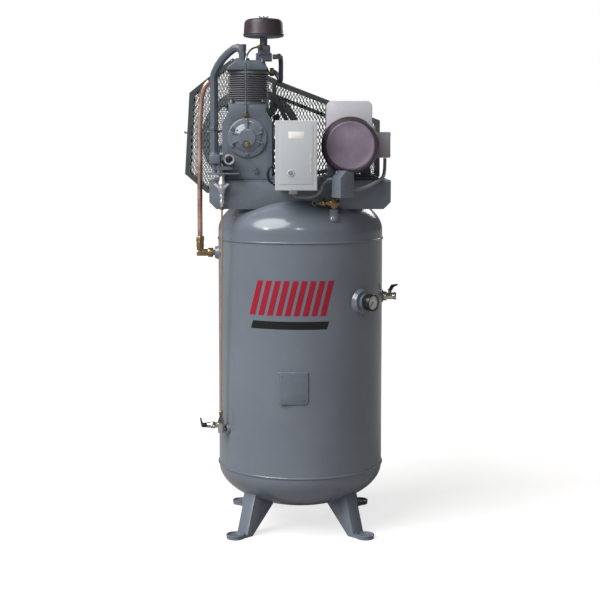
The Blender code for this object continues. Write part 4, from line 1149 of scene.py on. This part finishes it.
def make_motor():
    paint = folded_enamel()
    dressed("motor_shell", "frame", paint, 0.0010, angle=40)
    dressed("motor_slide_base", "frame", paint, 0.0010)
    x, z = MOTOR
    band = turned([(0.1020, 0.0), (0.1020, 0.050), (0.1005, 0.066), (0.0950, 0.0765), (0.0860, 0.0790),
                   (0.0845, 0.0780), (0.0560, 0.0780)], at=(x, -0.2000, z), along=(0, -1, 0), steps=96)
    slots = []
    for index in range(28):
        turn = math.radians(360 / 28 * index)
        slot = slab((-0.0022, -0.2620, 0.0975), (0.0022, -0.2120, 0.1080), 0.0, 1)
        slot.data.transform(Matrix.Rotation(turn, 4, "Y"))
        slot.location = (x, 0, z)
        slots.append(settle(slot))
    cut_away(band, joined(slots))
    placed(band, "fan_cover_band", "frame", plum_plastic(), angle=40)
    face = turned([(0.0850, 0.0), (0.0850, 0.0012), (0.0835, 0.0026), (0.0805, 0.0032), (0.0775, 0.0026),
                   (0.0755, 0.0019), (0.0600, 0.0022), (0.0300, 0.0026), (0.0030, 0.0027)],
                  at=(x, -0.2768, z), along=(0, -1, 0), steps=96)
    placed(face, "fan_cover_face", "frame", mauve_plastic(), stands_for=("motor_fan_cover",))
    corners = rounded((0.0930, 1.4565, 0.2560, 1.5750), 0.020, 6)
    lid = profile(corners, 0.2095, at=(0, -0.1898, 0), round_by=0.0025)
    placed(lid, "capacitor_cover_shell", "frame", pressed_cover_paint(),
           stands_for=("capacitor_cover",))
    places = [(0.1100, -0.1902, 1.490), (0.2390, -0.1902, 1.490)]
    placed(screws(0.0045, 0.0030, places, (0, -1, 0), hexagon=False), "capacitor_cover_screws",
           "frame", zinc_plate())
    dressed("motor_junction_box", "frame", junction_box_paint(), 0.0018)
    places = [(0.3222, y, z2) for y in (-0.140, -0.060) for z2 in (1.382, 1.455)]
    placed(screws(0.0042, 0.0030, places, (1, 0, 0), hexagon=False), "junction_box_screws",
           "frame", zinc_plate())
    dressed("motor_conduit", "frame", grey_conduit(), 0.0, angle=60)


# ---------------------------------------------------------------- control box and switches

def make_control_box():
    coat = powder_coat()
    dressed("control_box_tray", "frame", coat, 0.0008)
    lid = slab((-0.0868, -0.3590, 1.2612), (0.0588, -0.3452, 1.5028), 0.0040, 4)
    rim = slab((-0.0860, -0.3470, 1.2620), (0.0580, -0.3440, 1.5020), 0.0006)
    field = slab((-0.0720, -0.3604, 1.2830), (0.0440, -0.3580, 1.4880), 0.0016, 3)
    placed(joined([lid, rim]), "box_lid_cover", "box_lid", coat,
           stands_for=("control_box_lid",))
    placed(field, "box_lid_field", "box_lid", coat)
    card = slab((-0.0410, -0.3609, 1.4400), (0.0140, -0.3600, 1.4640), 0.0004)
    placed(card, "box_blank_label", "box_lid", dial_card())
    line = [slab((0.0330, -0.3608, z), (0.0380, -0.3600, z + 0.0200), 0.0004) for z in (1.318, 1.342, 1.366)]
    placed(joined(line), "box_embossed_line", "box_lid", coat)
    collar = turned([(0.0120, 0.0), (0.0120, 0.0022), (0.0105, 0.0034), (0.0085, 0.0034), (0.0080, 0.0010)],
                    at=(-0.033, -0.3600, 1.3215), along=(0, -1, 0), steps=40)
    placed(collar, "reset_bezel", "box_lid", coat)
    dressed("reset_button", "reset", grey_button(), 0.0006, angle=40)
    hinges = []
    for z in (1.300, 1.464):
        barrel = turned([(0.0028, 0.0), (0.0034, 0.0006), (0.0034, 0.0294), (0.0028, 0.0300)],
                        at=(-0.0890, -0.3450, z - 0.015), steps=20)
        hinges.append(barrel)
    placed(joined(hinges), "box_hinges", "frame", zinc_plate())
    latch = slab((0.0570, -0.3560, 1.3700), (0.0606, -0.3300, 1.3920), 0.0008)
    placed(latch, "box_latch", "box_lid", zinc_plate())
    repaint(("contactor",), black_plastic())
    loop = pipe([(-0.0840, -0.2840, 1.3420), (-0.0980, -0.2840, 1.3450), (-0.1110, -0.2840, 1.3300),
                 (-0.1120, -0.2840, 1.3050), (-0.1020, -0.2840, 1.2880), (-0.0840, -0.2840, 1.2850)],
                0.0050, steps=10)
    glands = [turned([(0.0085, 0.0), (0.0090, 0.0010), (0.0090, 0.0080), (0.0070, 0.0100)], steps=6,
                     at=(-0.0868, -0.2840, z), along=(-1, 0, 0)) for z in (1.3420, 1.2850)]
    run = pipe([(-0.0250, -0.2900, 1.2480), (-0.0180, -0.2930, 1.2400), (0.0100, -0.2980, 1.2370),
                (0.0450, -0.3000, 1.2400), (0.0680, -0.3010, 1.2560), (0.0800, -0.3030, 1.2820),
                (0.0980, -0.3060, 1.2980), (0.1220, -0.3100, 1.3000)], 0.0055, steps=10)
    placed(run, "switch_conduit", "frame", grey_conduit(), angle=50)
    placed(joined([loop] + glands), "control_conduit", "frame", black_plastic(), angle=50)


def make_switchgear():
    dressed("pressure_switch", "frame", folded_enamel(), 0.0030, steps=3)
    dressed("safety_valve_manifold", "frame", forged_brass(), 0.0005, angle=40)
    dressed("safety_valve_ring", "safety_pull", zinc_plate(), 0.0, angle=50)
    dressed("pilot_block", "frame", folded_enamel(), 0.0008, angle=40)
    dressed("pilot_valve", "frame", cast_zinc(), 0.0005, angle=40)
    dressed("pilot_wing_handle", "pilot_wing", cast_zinc(), 0.0006, angle=40)
    x, z = -0.2515, 1.3673
    ring = turned([(0.0188, 0.0), (0.0192, 0.0012), (0.0180, 0.0030), (0.0135, 0.0030), (0.0118, 0.0008)],
                  at=(x, -0.2330, z), along=(0, -1, 0), steps=48)
    placed(ring, "pilot_eye_bezel", "frame", cast_zinc())
    lens = turned([(0.0122, 0.0), (0.0122, 0.0006), (0.0080, 0.0022), (0.0010, 0.0028)],
                  at=(x, -0.2334, z), along=(0, -1, 0), steps=40)
    placed(lens, "pilot_eye", "frame", black_plastic())


# ---------------------------------------------------------------- gauge and valves

GAUGE_ANGLE = -44
GAUGE_HEIGHT = 0.859
DIAL_REACH = 0.35752


def gauge_turn():
    """Takes a shape drawn facing up, its top to the back, to the gauge's place and direction."""
    out = polar(GAUGE_ANGLE, 1, 0)
    return Matrix((( -out.y, 0, out.x, 0), (out.x, 0, out.y, 0), (0, 1, 0, 0), (0, 0, 0, 1)))


def on_gauge(obj, reach):
    """Moves a shape drawn facing up onto the gauge, reach from the receiver's axis."""
    obj.data.transform(gauge_turn())
    obj.location = polar(GAUGE_ANGLE, reach, GAUGE_HEIGHT)
    return settle(obj)


def make_gauge():
    case = turned([(0.0280, -0.0010), (0.0295, 0.0), (0.0300, 0.0020), (0.0300, 0.0225), (0.0292, 0.0238),
                   (0.0262, 0.0242), (0.0252, 0.0230), (0.0248, 0.0180), (0.0050, 0.0179)], steps=72)
    stem = turned([(0.0075, -0.0190), (0.0080, -0.0180), (0.0080, 0.0), (0.0070, 0.0005)], steps=6)
    bush = turned([(0.0290, -0.0188), (0.0290, -0.0120), (0.0275, -0.0105), (0.0130, -0.0100),
                   (0.0120, -0.0085)], steps=48)
    placed(on_gauge(case, 0.3391), "gauge_case", "frame", black_paint(),
           stands_for=("pressure_gauge",))
    placed(on_gauge(stem, 0.3391), "gauge_stem", "frame", forged_brass())
    placed(on_gauge(bush, 0.3391), "gauge_bush", "frame", machinery_enamel())
    card = turned([(0.0246, 0.0), (0.0246, 0.0002), (0.0243, 0.0003)], steps=64)
    placed(on_gauge(card, DIAL_REACH - 0.0003), "gauge_dial", "frame", dial_card())
    marks = []
    steps = sizes().gauge_steps
    for index in range(steps * 5 + 1):
        turn = math.radians(225 - 270 * index / (steps * 5))
        long = index % 5 == 0
        tick = slab((0.0196 if long else 0.0212, -0.00032, 0), (0.0230, 0.00032, 0.00010), 0.0, 1)
        tick.data.transform(Matrix.Rotation(turn, 4, "Z"))
        marks.append(tick)
    for index in range(steps + 1):
        turn = math.radians(225 - 270 * index / steps)
        clear_selection()
        bpy.ops.object.text_add(location=(0.0160 * math.cos(turn), 0.0160 * math.sin(turn), 0))
        number = bpy.context.object
        number.data.body = str(index * 25)
        number.data.size = 0.0044
        number.data.align_x = "CENTER"
        number.data.align_y = "CENTER"
        number.data.extrude = 0.00005
        number.data.resolution_u = 2
        bpy.ops.object.convert(target="MESH")
        settle(bpy.context.object)
        marks.append(bpy.context.object)
    placed(on_gauge(joined(marks), DIAL_REACH), "gauge_scale", "frame", dial_ink(), angle=20)
    glass = turned([(0.0256, 0.0), (0.0256, 0.0010), (0.0255, 0.0011)], steps=64)
    placed(on_gauge(glass, 0.3611), "gauge_glass", "frame", lens_glass())
    repaint(("gauge_needle",), black_paint())


def make_valves():
    dressed("outlet_valve_body", "frame", nickel_plate(), 0.0006, angle=40)
    dressed("outlet_valve_lever", "outlet_lever", black_plastic(), 0.0016, steps=3)
    dressed("drain_valve_body", "frame", nickel_plate(), 0.0005, angle=40)
    dressed("drain_valve_lever", "drain_lever", black_plastic(), 0.0010)
    dressed("inlet_check_valve", "frame", forged_brass(), 0.0006, angle=40)


# ---------------------------------------------------------------- floor, lights and camera

def soft_light(name, place, aim, size, power, colour=(1, 1, 1)):
    """One soft box hung at a place and turned to face a point."""
    clear_selection()
    bpy.ops.object.light_add(type="AREA", location=place)
    lamp = bpy.context.object
    lamp.name = name
    lamp.data.shape = "RECTANGLE"
    lamp.data.size, lamp.data.size_y = size
    lamp.data.energy = power
    lamp.data.color = colour
    lamp.rotation_euler = (Vector(aim) - Vector(place)).to_track_quat("-Z", "Y").to_euler()
    return lamp


AMBIENT, FLOOR_GLOW = 0.12, 0.72
WINDOW_POWER, WINDOW_SPREAD, WINDOW_WAY = 3.3, 45, (0.79, 0.62, -0.95)
CAMERA_BACK, CAMERA_HIGH, CAMERA_TILT = 4.93, 1.418, 4.87
LENS, SENSOR, SHIFT_Y = 79.5, 36, -0.07


def studio_floor():
    """Matt pale paper, faintly mottled. Its glow is shown to the camera only and lights no piece."""
    made, tree, shader, place = blank("studio_paper")
    if tree is None:
        return made
    mottle = between(tree, grain(tree, place, 90, 3.0), 0.0, 1.0)
    shade = tint(tree, mottle, linear("#A9A7A5"), linear("#AEACAA"))
    tree.links.new(shade, shader.inputs["Base Color"])
    shader.inputs["Emission Color"].default_value = (1, 1, 1, 1)
    seen = add(tree, "ShaderNodeLightPath").outputs["Is Camera Ray"]
    tree.links.new(between(tree, seen, 0.0, FLOOR_GLOW, 0.0, 1.0), shader.inputs["Emission Strength"])
    shader.inputs["Roughness"].default_value = 0.75
    shader.inputs["Specular IOR Level"].default_value = 0.2
    return made


def make_stage():
    clear_selection()
    bpy.ops.mesh.primitive_plane_add(size=60, location=(0, 0, -0.0005))
    floor = bpy.context.object
    floor.name = "studio_floor"
    settle(floor)
    floor.data.materials.append(studio_floor())

    world = bpy.data.worlds.new("studio_air")
    world.use_nodes = True
    tree = world.node_tree
    tree.nodes["Background"].inputs["Color"].default_value = (1, 1, 1, 1)
    seen = add(tree, "ShaderNodeLightPath").outputs["Is Camera Ray"]
    bright = between(tree, seen, AMBIENT, 1.0, 0.0, 1.0)
    tree.links.new(bright, tree.nodes["Background"].inputs["Strength"])
    bpy.context.scene.world = world

    target = (AXIS.x, AXIS.y, 0.95)
    soft_light("left_box", (-3.0, -2.6, 2.7), target, (0.40, 0.52), 15)
    soft_light("middle_box", (-0.1, -3.9, 3.0), target, (0.50, 0.26), 10)
    soft_light("back_box", (1.6, 3.4, 2.8), target, (1.4, 1.4), 22)
    clear_selection()
    bpy.ops.object.light_add(type="SUN", location=(-3, -3, 6))
    window = bpy.context.object
    window.name = "window"
    window.data.energy = WINDOW_POWER
    window.data.angle = math.radians(WINDOW_SPREAD)
    window.rotation_euler = Vector(WINDOW_WAY).to_track_quat("-Z", "Y").to_euler()

    clear_selection()
    bpy.ops.object.camera_add(location=(AXIS.x - 0.0012, AXIS.y - CAMERA_BACK, CAMERA_HIGH))
    camera = bpy.context.object
    camera.name = "studio_camera"
    camera.rotation_euler = (math.radians(90 - CAMERA_TILT), 0, 0)
    camera.data.sensor_width = SENSOR
    camera.data.lens = LENS
    camera.data.shift_y = SHIFT_Y
    camera.data.clip_start, camera.data.clip_end = 0.05, 60
    bpy.context.scene.camera = camera
    bpy.context.scene.view_settings.view_transform = "Standard"


# ---------------------------------------------------------------- the add-on's buttons

def step(maker):
    """Runs one maker with a clean selection, so a failure stops the script."""
    clear_selection()
    maker()
    clear_selection()
    return {"FINISHED"}


class COMPRESSOR_OT_receiver(bpy.types.Operator):
    """Makes the receiver's shell, dished heads, couplings and girth welds"""

    bl_idname = "compressor.receiver"
    bl_label = "Receiver"

    def execute(self, context):
        return step(make_receiver)


class COMPRESSOR_OT_marking(bpy.types.Operator):
    """Lays the slanted bars and the band on the receiver"""

    bl_idname = "compressor.marking"
    bl_label = "Marking"

    def execute(self, context):
        return step(make_marking)


class COMPRESSOR_OT_data_plate(bpy.types.Operator):
    """Makes the blank data plate and its bracket"""

    bl_idname = "compressor.data_plate"
    bl_label = "Data plate"

    def execute(self, context):
        return step(make_data_plate)


class COMPRESSOR_OT_legs(bpy.types.Operator):
    """Finishes the four legs and their pads"""

    bl_idname = "compressor.legs"
    bl_label = "Legs"

    def execute(self, context):
        return step(make_legs)


class COMPRESSOR_OT_deck(bpy.types.Operator):
    """Finishes the deck and sets its bolts"""

    bl_idname = "compressor.deck"
    bl_label = "Deck"

    def execute(self, context):
        return step(make_deck)


class COMPRESSOR_OT_guard(bpy.types.Operator):
    """Makes the guard's mesh panels, band, brace and clip"""

    bl_idname = "compressor.guard"
    bl_label = "Belt guard"

    def execute(self, context):
        return step(make_guard)


class COMPRESSOR_OT_crankcase(bpy.types.Operator):
    """Finishes the crankcase with its bearing cover, sight glass and plugs"""

    bl_idname = "compressor.crankcase"
    bl_label = "Crankcase"

    def execute(self, context):
        return step(make_crankcase)


class COMPRESSOR_OT_cylinders(bpy.types.Operator):
    """Makes the two finned cylinders and their nuts"""

    bl_idname = "compressor.cylinders"
    bl_label = "Cylinders"

    def execute(self, context):
        return step(make_cylinders)


class COMPRESSOR_OT_head(bpy.types.Operator):
    """Finishes the cylinder head with its ribs, gasket and bolts"""

    bl_idname = "compressor.head"
    bl_label = "Head"

    def execute(self, context):
        return step(make_head)


class COMPRESSOR_OT_intake(bpy.types.Operator):
    """Makes the intake filter's cover and wing nut"""

    bl_idname = "compressor.intake"
    bl_label = "Intake"

    def execute(self, context):
        return step(make_intake)


class COMPRESSOR_OT_pipes(bpy.types.Operator):
    """Runs the air lines with their nuts and clamp"""

    bl_idname = "compressor.pipes"
    bl_label = "Pipes"

    def execute(self, context):
        return step(make_pipes)


class COMPRESSOR_OT_drive(bpy.types.Operator):
    """Finishes the flywheel, pulley, belt, shafts and pistons"""

    bl_idname = "compressor.drive"
    bl_label = "Drive"

    def execute(self, context):
        return step(make_drive)


class COMPRESSOR_OT_motor(bpy.types.Operator):
    """Finishes the motor with its fan cover and boxes"""

    bl_idname = "compressor.motor"
    bl_label = "Motor"

    def execute(self, context):
        return step(make_motor)


class COMPRESSOR_OT_control_box(bpy.types.Operator):
    """Makes the control box, its lid, hinges, button and conduit"""

    bl_idname = "compressor.control_box"
    bl_label = "Control box"

    def execute(self, context):
        return step(make_control_box)


class COMPRESSOR_OT_switchgear(bpy.types.Operator):
    """Finishes the pressure switch, safety valve and pilot valve"""

    bl_idname = "compressor.switchgear"
    bl_label = "Switchgear"

    def execute(self, context):
        return step(make_switchgear)


class COMPRESSOR_OT_gauge(bpy.types.Operator):
    """Makes the gauge with its numbered dial and lens"""

    bl_idname = "compressor.gauge"
    bl_label = "Pressure gauge"

    def execute(self, context):
        return step(make_gauge)


class COMPRESSOR_OT_valves(bpy.types.Operator):
    """Finishes the outlet, drain and check valves"""

    bl_idname = "compressor.valves"
    bl_label = "Valves"

    def execute(self, context):
        return step(make_valves)


class COMPRESSOR_OT_stage(bpy.types.Operator):
    """Sets up the floor, the lights and the camera"""

    bl_idname = "compressor.stage"
    bl_label = "Stage"

    def execute(self, context):
        return step(make_stage)


STEPS = (COMPRESSOR_OT_receiver,
         COMPRESSOR_OT_marking,
         COMPRESSOR_OT_data_plate,
         COMPRESSOR_OT_legs,
         COMPRESSOR_OT_deck,
         COMPRESSOR_OT_guard,
         COMPRESSOR_OT_crankcase,
         COMPRESSOR_OT_cylinders,
         COMPRESSOR_OT_head,
         COMPRESSOR_OT_intake,
         COMPRESSOR_OT_pipes,
         COMPRESSOR_OT_drive,
         COMPRESSOR_OT_motor,
         COMPRESSOR_OT_control_box,
         COMPRESSOR_OT_switchgear,
         COMPRESSOR_OT_gauge,
         COMPRESSOR_OT_valves,
         COMPRESSOR_OT_stage)


class COMPRESSOR_PT_panel(bpy.types.Panel):
    """Lists the sizes, the colours and a button for each group of pieces"""

    bl_idname = "COMPRESSOR_PT_panel"
    bl_label = "Air compressor"
    bl_space_type = "VIEW_3D"
    bl_region_type = "UI"
    bl_category = "Compressor"

    def draw(self, context):
        column = self.layout.column(align=True)
        for group in (context.scene.compressor_sizes, context.scene.compressor_colours):
            for name in group.__annotations__:
                column.prop(group, name)
        for made in STEPS:
            column.operator(made.bl_idname)


CLASSES = (CompressorColours, CompressorSizes) + STEPS + (COMPRESSOR_PT_panel,)


def register():
    for made in CLASSES:
        bpy.utils.register_class(made)
    bpy.types.Scene.compressor_colours = bpy.props.PointerProperty(type=CompressorColours)
    bpy.types.Scene.compressor_sizes = bpy.props.PointerProperty(type=CompressorSizes)


def unregister():
    del bpy.types.Scene.compressor_sizes
    del bpy.types.Scene.compressor_colours
    for made in reversed(CLASSES):
        bpy.utils.unregister_class(made)


def main():
    register()
    for made in STEPS:
        group, name = made.bl_idname.split(".")
        getattr(getattr(bpy.ops, group), name)()


if __name__ == "__main__":
    main()
